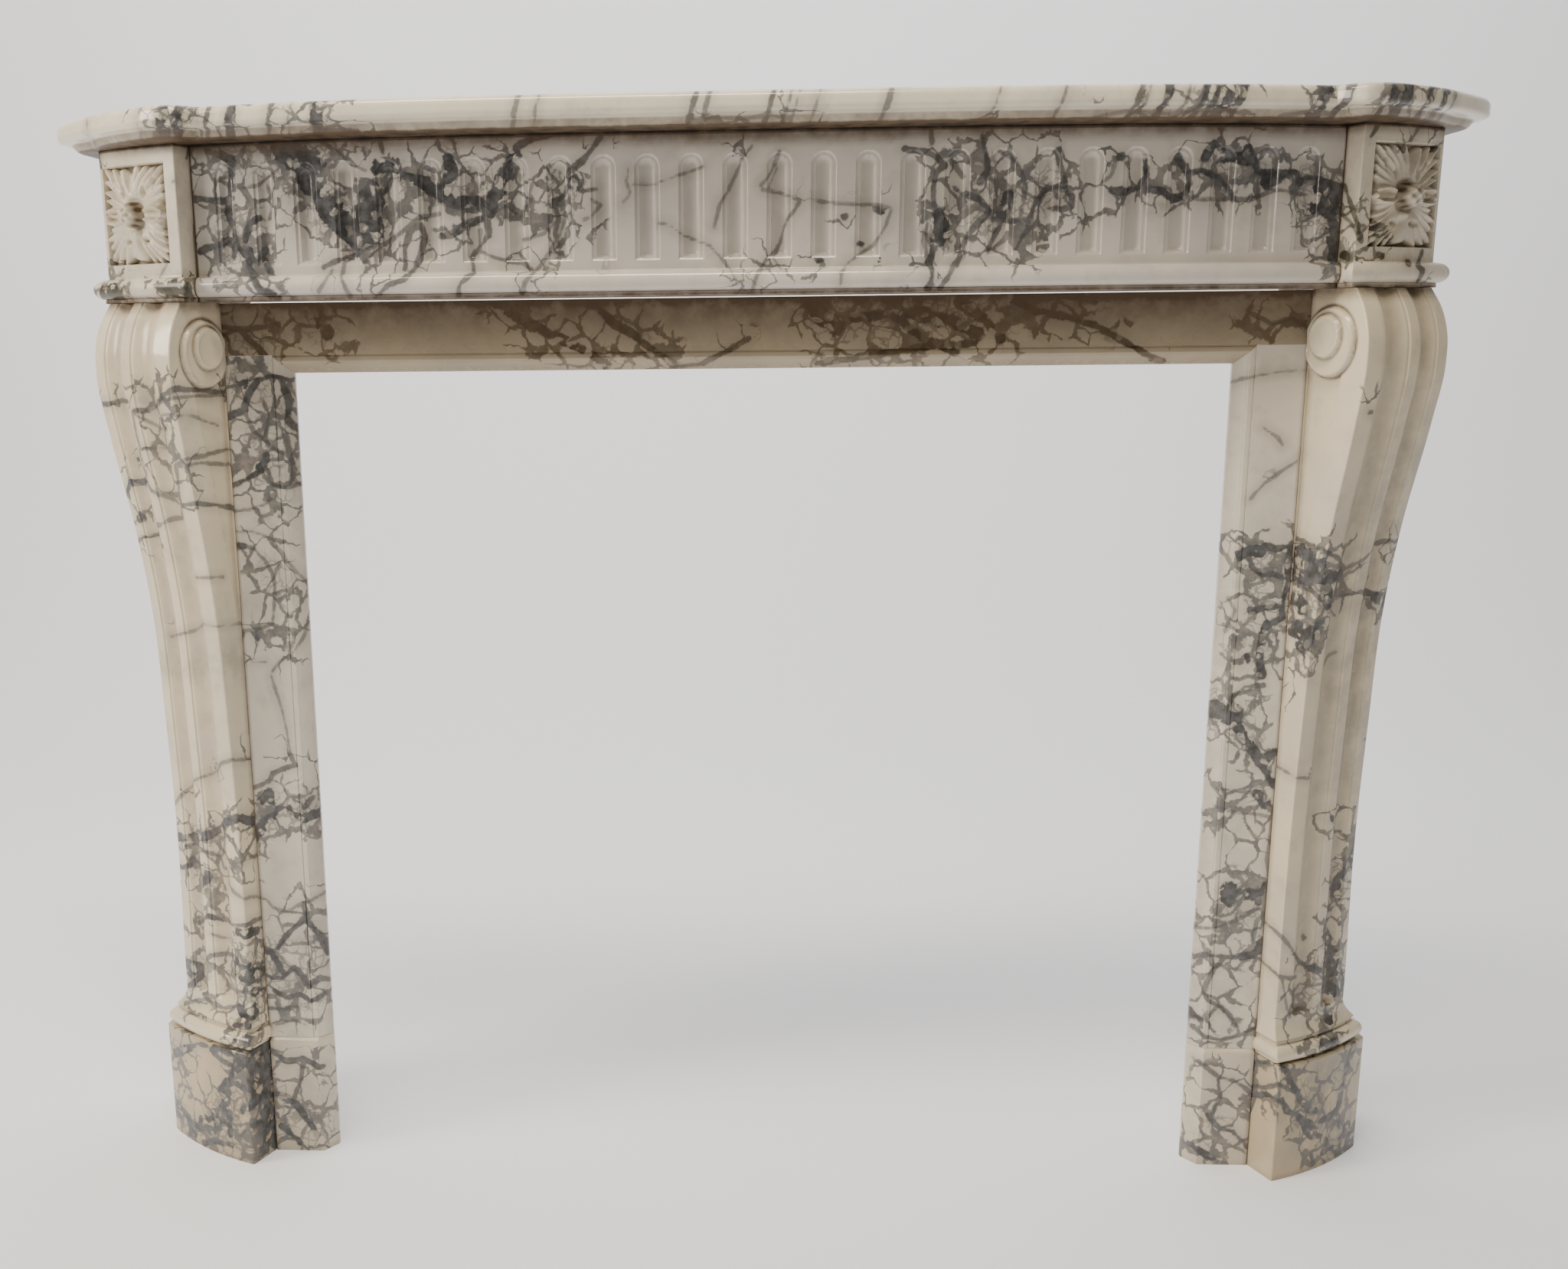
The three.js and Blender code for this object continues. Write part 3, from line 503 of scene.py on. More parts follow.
def plinth_section(z):
    """Section of a plinth: cheek, then an arc about the turning centre, then straight to the wall.
    Near the top everything draws in by 1.5 mm, as t^2 over the last 2 mm."""
    inset = 1.5 * np.clip((z - (PLINTH_TOP - 2)) / 2, 0, 1) ** 2
    radius = PLINTH_RADIUS - inset
    start, end = PLINTH_CHEEK + inset / radius, PLINTH_END - inset / radius
    width = radius * (end - start)
    rho = JOINT_RADIUS + (radius - PLINTH_ARRIS - JOINT_RADIUS) * np.linspace(0, 1, 26)
    x, y = turned(rho, start)
    a = quarter()
    margin = PLINTH_ARRIS / PLINTH_FRONT
    share = np.linspace(margin, 1 - margin, 92)
    corner_x, corner_y = turned(radius - PLINTH_ARRIS, end)
    side_y = straight(corner_y, WALL, 24)
    parts = [
        [x, y, rho - radius],
        [*onto_arc(radius, start, PLINTH_ARRIS, a), 0 * a + 0 * z],
        [*turned(radius, start + (end - start) * share), width * share],
        [*off_arc(radius, end, PLINTH_ARRIS, a), width + 0 * a],
        [corner_x + 0 * side_y, side_y, width + side_y - corner_y],
        [straight(corner_x, JOINT_X, 6), WALL + 0 * z, width + 200 + 0 * z],
        [JOINT_X - 1.3 + 0 * z, WALL + (2 - WALL) * np.linspace(0, 1, 8), -60 + 0 * z],
    ]
    return ring_of(*parts)


worn_edge = PLINTH_TOP - 2 * np.linspace(1, 0, 7)
plinth_levels = np.concatenate([[0, 0.6], np.linspace(2, 129, 62), worn_edge])
for side, name in SIDES:
    z = plinth_levels[:, None]
    x, y, along = plinth_section(z)
    # darker towards the floor
    dirt = 0.25 * (1 - smooth(z, 0, 8))
    fields = marks(along, z, PLINTH_VEINS[side], PLINTH_CROWDS[side], PLINTH_HAZE[side], dirt)
    rings = np.stack([x, y, z + 0 * x], -1)
    piece = f"console_plinth_{name}"
    stone(piece + "_stone", [(rings, fields)], [piece], side)

# %% [markdown]
# ## The corner blocks
# The blocks over the consoles carry a carved rosette in a sunk square: a berry in the middle, two
# lobes round a lens on either side, and leaves whose fingers reach the frame. Sculpting by hand
# would be quick but can't be repeated, so the carving is a height at each point of the square.

# %% Rosette
PANEL_HALF, PANEL_DEPTH, PANEL_MIDDLE = 47.0, 11.0, BLOCK_FLOOR + 37 + 47
BERRY = 12.6
# holes: middle in a and b, half widths in a and b, depth
HOLES = (
    (26, 3.0, 7, 2.2, 4.5), (28, -4.5, 8, 1.7, 3.5), (43, 9, 3.2, 3.4, 12.0),
    (43, -11, 3.2, 4.0, 12.0), (13, -25, 5.0, 2.2, 7.0), (15, 22, 2.2, 5.0, 6.0),
    (30, 30, 2.0, 6.0, 3.0),
)


def rosette(a, b):
    """Height over the panel's ground at (a, b), a grows outwards, and the painted shade there: darker
    where the carving is low, round the berry's foot, on its sides and in the pits between its grains.
    With t the way to the frame, the leaves are 7.6 + 2.8 sin(pi t), less up to 4 mm between 32 fingers.
    Over them stand two lobes round a lens on either side, a curled leaf and a berry, each the highest
    where it stands. Holes are sunk between the tips as exp(-x^2 - y^2)."""
    bent_a, bent_b = a + 1.6 * np.sin(b / 8.5 + 1.0), b + 1.2 * np.sin(a / 8.0 - 0.6)
    phi = np.arctan2(bent_b, bent_a)
    square = (PANEL_HALF - 0.4) / np.maximum(np.abs(np.cos(phi)), np.abs(np.sin(phi)))
    t = np.hypot(bent_a, bent_b) / square
    turn = phi - 0.085 * np.sin(4 * phi) + 0.05 * np.sin(3 * phi + 0.6) + 0.2 * t * np.sin(2 * phi)
    finger = 0.5 + 0.5 * np.cos(32 * turn)
    leaves = 7.6 + 2.8 * np.sin(math.pi * np.clip(1.15 * t - 0.15, 0, 1)) + 1.0 * np.cos(4 * phi)
    leaves = leaves - (0.4 + 3.6 * smooth(t, 0.4, 0.95)) * (1 - finger) ** 1.3
    leaves = leaves - 3.0 * (0.5 + 0.5 * np.cos(8 * turn + 0.5)) ** 10 * smooth(t, 0.3, 0.6)
    tip = 0.88 + 0.12 * np.sqrt(finger)
    leaves = leaves * (1 - smooth(t, tip - 0.05, tip + 0.01))

    along = np.abs(a)
    rim = 7.5 * np.sin(math.pi * np.clip((along - 9) / 41, 0, 1)) ** 0.7
    lobe = np.exp(-((np.abs(b + 0.5) - 0.85 * rim) / 3.4) ** 2)
    lobes = 8.0 + 7.5 * np.sin(math.pi * np.clip((along - 4) / 50, 0, 1))
    lobes = lobes * lobe * (1 - smooth(along, 40, 44.5))
    knob = 12.5 * np.sqrt(np.clip(1 - ((along - 41.5) ** 2 + (b + 1) ** 2) / 18, 0, 1))
    curl = 15.0 * np.sqrt(np.clip(1 - ((a + 4) / 8.5) ** 2 - ((b + 18) / 5.5) ** 2, 0, 1))
    carved = np.maximum.reduce([leaves, lobes, knob, curl])
    for at_a, at_b, half_a, half_b, depth in HOLES:
        carved = carved - depth * np.exp(-((along - at_a) / half_a) ** 2 - ((b - at_b) / half_b) ** 2)

    r = np.hypot(a, b)
    moat = 1 - 0.3 * np.exp(-((r - 14.2) / 1.6) ** 2)
    carved = np.clip(carved, 0, None) * moat
    grains = np.cos(0.62 * a + 0.5) * np.cos(0.62 * b + 0.4)
    berry = 8 + 17.2 * np.clip(1 - (r / BERRY) ** 2, 0, 1) ** 0.42 + 1.7 * grains
    # painted shade on the berry's sides and in the pits between its grains, and beside it where the
    # carving is low and in the moat
    berry_shade = 0.3 * (1 - grains) ** 2 + 0.9 * smooth(r, 9.5, 12.4)
    beside = np.maximum(np.clip(1.0 - carved / 5.4, 0, 1), 0.6 * (1 - smooth(r, 12.8, 15)))
    return np.where(r < BERRY, berry, carved), np.where(r < BERRY, berry_shade, beside)


# %% Block
def roll_profile():
    """Height and reach of the roll moulding at the foot of frieze and blocks: a square fillet, a
    half round of 9.6 mm, then the plain face."""
    a = np.radians(np.linspace(-90, 90, 19))
    fillet, face = [BLOCK_FLOOR, 927.7, 929.5, 931.0, 931.4], [950.95, 951.6]
    height = np.concatenate([fillet, 941.1 + 9.6 * np.sin(a), face])
    reach = np.concatenate([[3.0, 3.5, 3.5, 3.5, 3.0], 2.4 + 9.6 * np.cos(a), [0.4, 0.0]])
    return height, reach


BLOCK_END, BLOCK_ARRIS, BLOCK_FRONT = math.radians(44.4), 1.2, 118.0
BLOCK_VEINS = {
    -1: [
        (18, (-22, 940), (-4, 941)), (13, (-2, 936), (14, 938)), (12, (6, 944), (20, 938)),
        (8, (22, 938), (30, 941)), (3, (75, 946), (84, 936), (72, 930)), (11, (84, 938), (92, 934)),
        (13, (100, 940), (112, 936), (124, 938)), (5, (96, 930), (120, 929)),
        (1.5, (18, 964), (30, 951)), (3, (2, 1040), (3, 1039)), (2, (-21, 1000), (-21, 940)),
        (4, (118, 1074), (114, 1060)), (3, (-24, 1074), (-18, 1062)),
    ],
    1: [
        (4, (-20, 1020), (-10, 1002), (0, 984), (6, 970)), (3, (-20, 994), (-8, 986), (4, 972)),
        (7, (-16, 958), (-8, 954)), (5, (88, 950), (94, 960)), (5, (84, 947), (94, 942), (88, 934)),
        (5, (28, 958), (33, 956)), (4, (8, 1062), (16, 1074)), (3, (60, 1060), (70, 1072)),
        (4, (100, 1054), (114, 1062)), (5, (70, 950), (73, 949)), (2, (-14, 940), (-8, 930)),
    ],
}
BLOCK_CROWDS = {
    -1: [(4, 940, 26, 9, 0.9), (100, 936, 26, 9, 0.8)],
    1: [(10, 980, 16, 14, 0.35), (-18, 960, 10, 20, 0.6)],
}
BLOCK_HAZE = {
    -1: [(4, 940, 26, 9, 0.9), (100, 936, 26, 9, 0.8), (64, 988, 20, 12, 0.4)],
    1: [(66, 1040, 26, 20, 0.5), (-10, 970, 16, 30, 0.5), (70, 998, 24, 14, 0.5)],
}


def block_section(z, reach):
    """Section of a block: return along the cheek, front on an arc, outer end straight back. The
    front's radius changes by the sunk square and by the carving on its flat ground."""
    radius = BLOCK_RADIUS + reach
    start = CHEEK - reach / radius
    end = BLOCK_END + reach / radius
    width = radius * (end - start)
    arris_x, arris_y = turned(radius - BLOCK_ARRIS, start)
    x = BLOCK_JOINT_X + (arris_x - BLOCK_JOINT_X) * np.linspace(0, 1, 16)
    back_along = (arris_x - x) / math.sin(CHEEK)
    # painted shade on the return, deeper in towards the frieze
    y, painted_shade = arris_y + back_along * math.cos(CHEEK), 0.5 * smooth(back_along, 16, 22)
    cheek_part = [x, y, -back_along - BLOCK_ARRIS, painted_shade]

    a = quarter(5)
    near = [*onto_arc(radius, start, BLOCK_ARRIS, a), 0 * a + 0 * z, 0 * z]

    middle = CHEEK + 63 / BLOCK_RADIUS
    margin = BLOCK_ARRIS / BLOCK_FRONT
    share = np.linspace(margin, 1 - margin, 118)
    angle = start + (end - start) * share
    across = (BLOCK_RADIUS - PANEL_DEPTH) * np.tan(angle - middle)
    up = z - PANEL_MIDDLE
    inside = 1 - smooth(np.maximum(np.abs(across), np.abs(up)), PANEL_HALF - 0.9, PANEL_HALF + 0.1)
    carved, hollow = rosette(across, up)
    ground = (BLOCK_RADIUS - PANEL_DEPTH) / np.cos(angle - middle) - BLOCK_RADIUS
    depth = inside * (ground + carved)
    # the rosette's painted shade in the sunk square
    front_part = [*turned(radius + depth, angle), width * share, 0.85 * inside * hollow]

    far = [*off_arc(radius, end, BLOCK_ARRIS, a), width + 0 * a, 0 * z]
    end_x, end_y = turned(radius - BLOCK_ARRIS, end)
    side_y = straight(end_y, WALL, 20)
    outer_side = [end_x + 0 * side_y, side_y, width + side_y - end_y, 0 * z]
    back = [straight(end_x, BLOCK_JOINT_X, 6), WALL + 0 * z, width + 200 + 0 * z, 0 * z]
    joint_y = WALL + (-20 - WALL) * np.linspace(0, 1, 8)
    joint = [BLOCK_JOINT_X + 0 * z, joint_y, -60 + 0 * z, 0 * z]
    return ring_of(cheek_part, near, front_part, far, outer_side, back, joint)


roll_z, roll_reach = roll_profile()
below, square = np.linspace(953, 963.8, 8), np.linspace(964.4, 1058.2, 92)
block_z = np.concatenate([roll_z, below, square, np.linspace(1059, 1073.6, 10), [BLOCK_TOP]])
block_reach = np.concatenate([roll_reach, np.zeros(len(block_z) - len(roll_z))])
for side, name in SIDES:
    z = block_z[:, None]
    x, y, along, dirt = block_section(z, block_reach[:, None])
    # painted shadow of the shelf at the top with a black shadow line at the joint, and painted shade
    # under the roll at the foot
    joints = 0.6 * smooth(z, 1062, 1072) + 1.3 * smooth(z, 1071.5, 1073.6)
    dirt = 0.8 * dirt + joints + 0.9 * (1 - smooth(z, 928, 934))
    fields = marks(along, z, BLOCK_VEINS[side], BLOCK_CROWDS[side], BLOCK_HAZE[side], dirt)
    rings = np.stack([x, y, z + 0 * x], -1)
    piece = f"corner_block_{name}"
    stone(piece + "_stone", [(rings, fields)], [piece], side)

# %% [markdown]
# ## The frieze
# The frieze is one bowed slab with 26 flutes. Each flute is a flat-bottomed frame with a round
# channel inside, both with an arched head, and a sloping ledge at the foot that catches the light.
# Cutters and booleans leave ragged meshes; here the face is a height over (x, z), with the columns
# of the grid packed at the flutes' edges.

# %% Frieze: bow and flutes
FRIEZE_END = BLOCK_JOINT_X - GAP
BOW = ARRIS_Y + 8.5 / math.tan(CHEEK) - FRIEZE_MIDDLE_Y
FLUTE_COUNT, FLUTE_WIDTH = 26, 24.0
FLUTE_PITCH = (2 * (FRIEZE_END - 25) - FLUTE_WIDTH) / (FLUTE_COUNT - 1)
FLUTE_FOOT, FLUTE_HEAD = BLOCK_FLOOR + 34.5, BLOCK_TOP - 19.5


def frieze_front(x):
    """The bow: flat in the middle, then back as 0.2 u^2 + 0.8 u^4 towards the joints."""
    u = x / BLOCK_JOINT_X
    return FRIEZE_MIDDLE_Y + BOW * (0.2 * u ** 2 + 0.8 * u ** 4)


def arch_distance(a, z, width, head):
    """Distance inside an arch: half the width less |a|, and over the springing line less the
    distance to the arch's centre."""
    spring = head - width / 2
    return width / 2 - np.hypot(a, np.maximum(z - spring, 0))


def frieze_depth(x, z):
    """Depth of the nearest flute: a 1.6 mm sunk frame, then a cove down to 5.8 mm."""
    a = x - FLUTE_PITCH * (np.clip(np.round(x / FLUTE_PITCH - 0.5), -13, 12) + 0.5)
    frame = smooth(arch_distance(a, z, FLUTE_WIDTH, FLUTE_HEAD), 0.0, 0.9)
    frame = frame * np.clip((z - (FLUTE_FOOT - 2.5)) / 2.5, 0, 1)
    t = np.clip(arch_distance(a, z, 15, FLUTE_HEAD - 4.6) / 5.2, 0, 1)
    t = t * np.clip((z - (FLUTE_FOOT + 0.6)) / 3.6, 0, 1)
    return 1.6 * frame + 4.2 * np.sqrt(1 - (1 - t) ** 2)


# %% Frieze: veins
FRIEZE_VEINS = [
    (6, (-505, 1060), (-510, 1030), (-512, 1010), (-505, 985), (-510, 970)),
    (5, (-548, 1025), (-520, 1022), (-505, 1025)), (6, (-545, 975), (-530, 980), (-515, 985),
    (-500, 975), (-485, 965), (-475, 975)), (7, (-490, 975), (-493, 960), (-485, 945), (-478, 935),
    (-465, 932)), (5, (-480, 970), (-470, 955)), (5, (-480, 1005), (-490, 1000), (-495, 985)),
    (9, (-530, 1068), (-505, 1060)), (2, (-500, 1032), (-480, 1035), (-470, 1042), (-455, 1050)),
    (3, (-470, 1035), (-465, 1020), (-470, 1005)), (26, (-452, 1066), (-424, 1052)),
    (20, (-430, 1040), (-410, 1015), (-395, 996), (-380, 982)),
    (22, (-366, 1024), (-370, 1000), (-368, 988)), (9, (-382, 1010), (-380, 990)),
    (13, (-358, 1048), (-342, 1049)), (4, (-355, 1075), (-352, 1060)),
    (4, (-345, 1040), (-350, 1028), (-360, 1022)),
    (2, (-400, 1075), (-397, 1065), (-385, 1052), (-370, 1045)), (4, (-415, 958), (-405, 963),
    (-385, 968), (-370, 975), (-355, 978)), (3, (-395, 965), (-397, 950), (-390, 930)),
    (2, (-408, 955), (-412, 945), (-420, 935)), (3, (-375, 962), (-355, 978), (-335, 990), (-318, 1002),
    (-300, 1005)), (4, (-335, 955), (-335, 975), (-328, 990), (-318, 995), (-315, 985), (-318, 970),
    (-325, 955), (-335, 945), (-350, 940), (-360, 932)), (13, (-328, 1036), (-310, 1033), (-300, 1025),
    (-285, 1014), (-265, 1014), (-252, 1008), (-245, 1020), (-235, 1035), (-230, 1050)),
    (9, (-290, 1055), (-286, 1042), (-295, 1030)),
    (6, (-260, 1000), (-275, 995), (-290, 985), (-300, 985)), (4, (-255, 1000), (-252, 985),
    (-262, 975), (-270, 965), (-268, 950), (-280, 940), (-283, 930)), (3, (-262, 990), (-262, 970),
    (-250, 965), (-235, 960), (-222, 960), (-210, 950)), (2, (-250, 1005), (-235, 1010), (-222, 1000),
    (-215, 1015), (-210, 1030)), (2, (-210, 950), (-205, 955), (-195, 970), (-185, 985), (-180, 1000)),
    (2, (-220, 980), (-200, 985), (-190, 995)), (3, (-210, 950), (-218, 940), (-222, 930)),
    (5, (-222, 1055), (-225, 1062), (-210, 1070), (-190, 1074)), (4, (-145, 1070), (-160, 1052),
    (-175, 1040), (-180, 1020), (-190, 1014)), (11, (-175, 1032), (-168, 1027)),
    (3, (-165, 1022), (-150, 1025)), (3, (-190, 1012), (-187, 1000), (-190, 985), (-187, 975)),
    (1.6, (-155, 1015), (-147, 1010), (-155, 1000), (-162, 997)), (1.6, (-120, 1042), (-122, 1030),
    (-118, 1020), (-125, 1012)), (1.6, (-115, 1028), (-95, 1028), (-75, 1035), (-50, 1043)), (1.6,
    (-92, 993), (-80, 990), (-70, 982), (-45, 972), (-35, 962), (-25, 950), (-20, 940)), (2, (-5, 1060),
    (-15, 1048), (-20, 1035), (-28, 1020), (-35, 1008), (-40, 988)), (2.2, (20, 1055), (15, 1042),
    (10, 1032), (3, 1025), (5, 1021), (20, 1019), (32, 1014), (40, 1012)),
    (2, (18, 1040), (12, 1028), (10, 1020)), (2.6, (40, 1012), (35, 1003), (28, 995), (24, 985),
    (22, 975), (17, 965), (8, 958), (2, 948), (-2, 940), (-5, 930)), (1.8, (15, 960), (22, 950)), (1.8,
    (50, 1012), (75, 1008), (95, 1007), (110, 1007), (125, 1003)), (6, (111, 1002), (114, 1001)), (1.8,
    (125, 1003), (118, 985), (108, 970), (95, 962), (85, 955), (78, 945), (78, 935)),
    (6, (57, 957), (60, 957)), (5, (79, 996), (81, 996)), (5, (94, 972), (97, 972)),
    (3, (158, 1075), (160, 1060)), (4, (135, 1055), (155, 1052), (165, 1048), (172, 1040), (165, 1035),
    (162, 1020), (163, 1005)), (15, (169, 996), (168, 978)),
    (5, (165, 970), (160, 955), (162, 945), (160, 930)), (3, (158, 990), (155, 975), (158, 960)),
    (3, (178, 1045), (190, 1030)), (4, (190, 962), (182, 950), (175, 938), (170, 930)), (4, (185, 950),
    (190, 965), (195, 978), (205, 990), (215, 1000), (205, 1010), (190, 1015), (183, 1020)),
    (4, (205, 1065), (210, 1050), (212, 1035), (205, 1025)), (3, (222, 1052), (235, 1045), (243, 1035),
    (247, 1020), (245, 1005), (243, 992)), (10, (232, 1014), (227, 998)), (4, (218, 992), (235, 990),
    (250, 992), (252, 985), (245, 975), (240, 965)), (4, (225, 985), (218, 975), (215, 965)), (4,
    (252, 992), (255, 1003), (262, 1012), (268, 1020), (280, 1018), (290, 1012), (290, 1003),
    (282, 1000), (270, 1002)), (4, (275, 1052), (278, 1040), (282, 1028), (285, 1015)),
    (5, (332, 1046), (334, 1046)), (2, (328, 1040), (326, 1030), (318, 1024)), (5, (326, 1016),
    (340, 1015), (352, 1018), (358, 1030), (357, 1042)), (5, (360, 1018), (375, 1015), (385, 1008),
    (395, 1012), (400, 1022), (398, 1032), (392, 1040), (388, 1046)), (3, (395, 1010), (410, 1008),
    (445, 1008), (460, 1008), (470, 1012), (480, 1016), (500, 1014), (515, 1012)), (5, (398, 1032),
    (410, 1033), (425, 1028), (435, 1020), (442, 1010)), (6, (412, 1045), (420, 1058), (430, 1050),
    (440, 1042), (455, 1042)), (11, (432, 1044), (443, 1044)), (6, (452, 1052), (460, 1042),
    (465, 1033), (480, 1032), (500, 1030), (520, 1027), (552, 1018)),
    (2, (463, 1033), (455, 1025), (452, 1018)), (9, (473, 1023), (482, 1025)),
    (7, (501, 1024), (507, 1024)), (14, (524, 1018), (552, 1014)), (32, (536, 1006), (552, 992)),
    (24, (544, 984), (552, 962)), (14, (546, 962), (551, 945)),
]
FRIEZE_CROWDS = [
    (-505, 1000, 45, 60, 0.62), (-440, 1055, 50, 24, 0.6), (-350, 990, 40, 40, 0.3),
    (-280, 1030, 50, 30, 0.4), (-200, 1000, 40, 50, 0.45), (205, 1010, 40, 45, 0.85),
    (270, 1010, 40, 40, 0.6), (430, 1025, 80, 24, 0.6), (530, 1010, 30, 40, 0.5),
    (-180, 1030, 22, 24, 0.4), (165, 985, 20, 30, 0.4),
]
FRIEZE_HAZE = [
    (-420, 1030, 60, 40, 0.8), (-275, 1020, 60, 30, 0.7), (215, 1010, 40, 40, 0.8),
    (275, 1008, 16, 14, 0.9), (372, 1004, 16, 9, 1.0), (470, 1022, 60, 16, 0.7),
    (545, 990, 14, 40, 1.0), (-40, 1068, 80, 8, 0.8), (110, 1068, 50, 7, 0.8),
]

# %% Cut the frieze
half_columns = np.array([
    0.9, 2.3, 3.6, 4.8, 5.8, 6.6, 7.2, 7.7, 8.4, 9.4, 10.4, 11.0, 11.35, 11.7, 12.0, 12.5, 14.0,
    15.8, 18.0])
columns = np.concatenate([-half_columns[::-1], half_columns, [20.49]])
flute_middles = FLUTE_PITCH * (np.arange(FLUTE_COUNT) - (FLUTE_COUNT - 1) / 2)
columns = (flute_middles[:, None] + columns).ravel()
margin = np.linspace(columns[-1] + 1.6, FRIEZE_END, 13)
columns = np.concatenate([-margin[::-1], columns, margin])
face_z = np.concatenate([
    np.linspace(953.2, 958.8, 4), np.linspace(959.2, 966.6, 10), np.linspace(969, 1036, 24),
    FLUTE_HEAD - 17.5 * (1 - np.linspace(0, 1, 15) ** 0.8), [1055.6, 1058],
    np.linspace(1061, 1073.6, 6), [BLOCK_TOP],
])
front_z = np.concatenate([roll_z, face_z])
front_reach = np.concatenate([roll_reach, np.zeros(len(face_z))])
x = columns[:, None]
slope = np.arctan(BOW * (0.4 * x + 3.2 * x ** 3 / BLOCK_JOINT_X ** 2) / BLOCK_JOINT_X ** 2)
depth = frieze_depth(x, front_z)
out = front_reach - depth
front_part = [x + out * np.sin(slope), frieze_front(x) - out * np.cos(slope), front_z + 0 * x, depth]
FRIEZE_BACK = -3.0
down = np.linspace(BLOCK_TOP, BLOCK_FLOOR, 5)
back_part = [x + 0 * down, FRIEZE_BACK + 0 * down + 0 * x, down + 0 * x, 0 * x]
px, py, pz, sunk = ring_of(front_part, back_part)
# painted shadow of the shelf at the top, painted shade under the roll at the foot, dark joint lines at
# the ends, and a trace of painted shade in the flutes
under_shelf = 0.85 * smooth(pz, 1056, 1073) + 1.2 * smooth(pz, 1071, 1073)
under_roll, ends = 0.95 * (1 - smooth(pz, 928, 935)), 1.6 * smooth(np.abs(px), 547.5, 549.5)
dirt = under_shelf + under_roll + ends + 0.005 * sunk
frieze_fields = marks(px, pz, FRIEZE_VEINS, FRIEZE_CROWDS, FRIEZE_HAZE, dirt)
stone("frieze_stone", [(np.stack([px, py, pz], -1), frieze_fields)], ["frieze"])

# %% [markdown]
# ## The inner frame
# Slim slips of the same marble frame the fire opening. Their moulding is a flat bead, a groove and a
# splay, mitred at the upper corners. A profile carried along each stone gives it exactly.

# %% Slips
MOULDING, MITRE_RISE, SPLAY_DEPTH = 19.0, 18.0, 14.0
SLIP_FOOT, SLIP_BACK = 135.3, 20.0
PLINTH_PROUD, PLINTH_BEVEL = 4.0, 3.0


def moulding_back(across, width):
    """How far the moulding lies behind the face: a splay from 14 mm to the groove, then a rounded
    bead 7 mm wide."""
    line = width - 7
    splay = SPLAY_DEPTH + (1.6 - SPLAY_DEPTH) * np.clip(across / (line - 1), 0, 1)
    bead = 1.6 - 1.6 * np.sqrt(np.clip(1 - ((across - line - 3) / 3.3) ** 4, 0, 1))
    return np.where(across < line - 1, splay, np.where(across < width - 0.3, bead, 0))


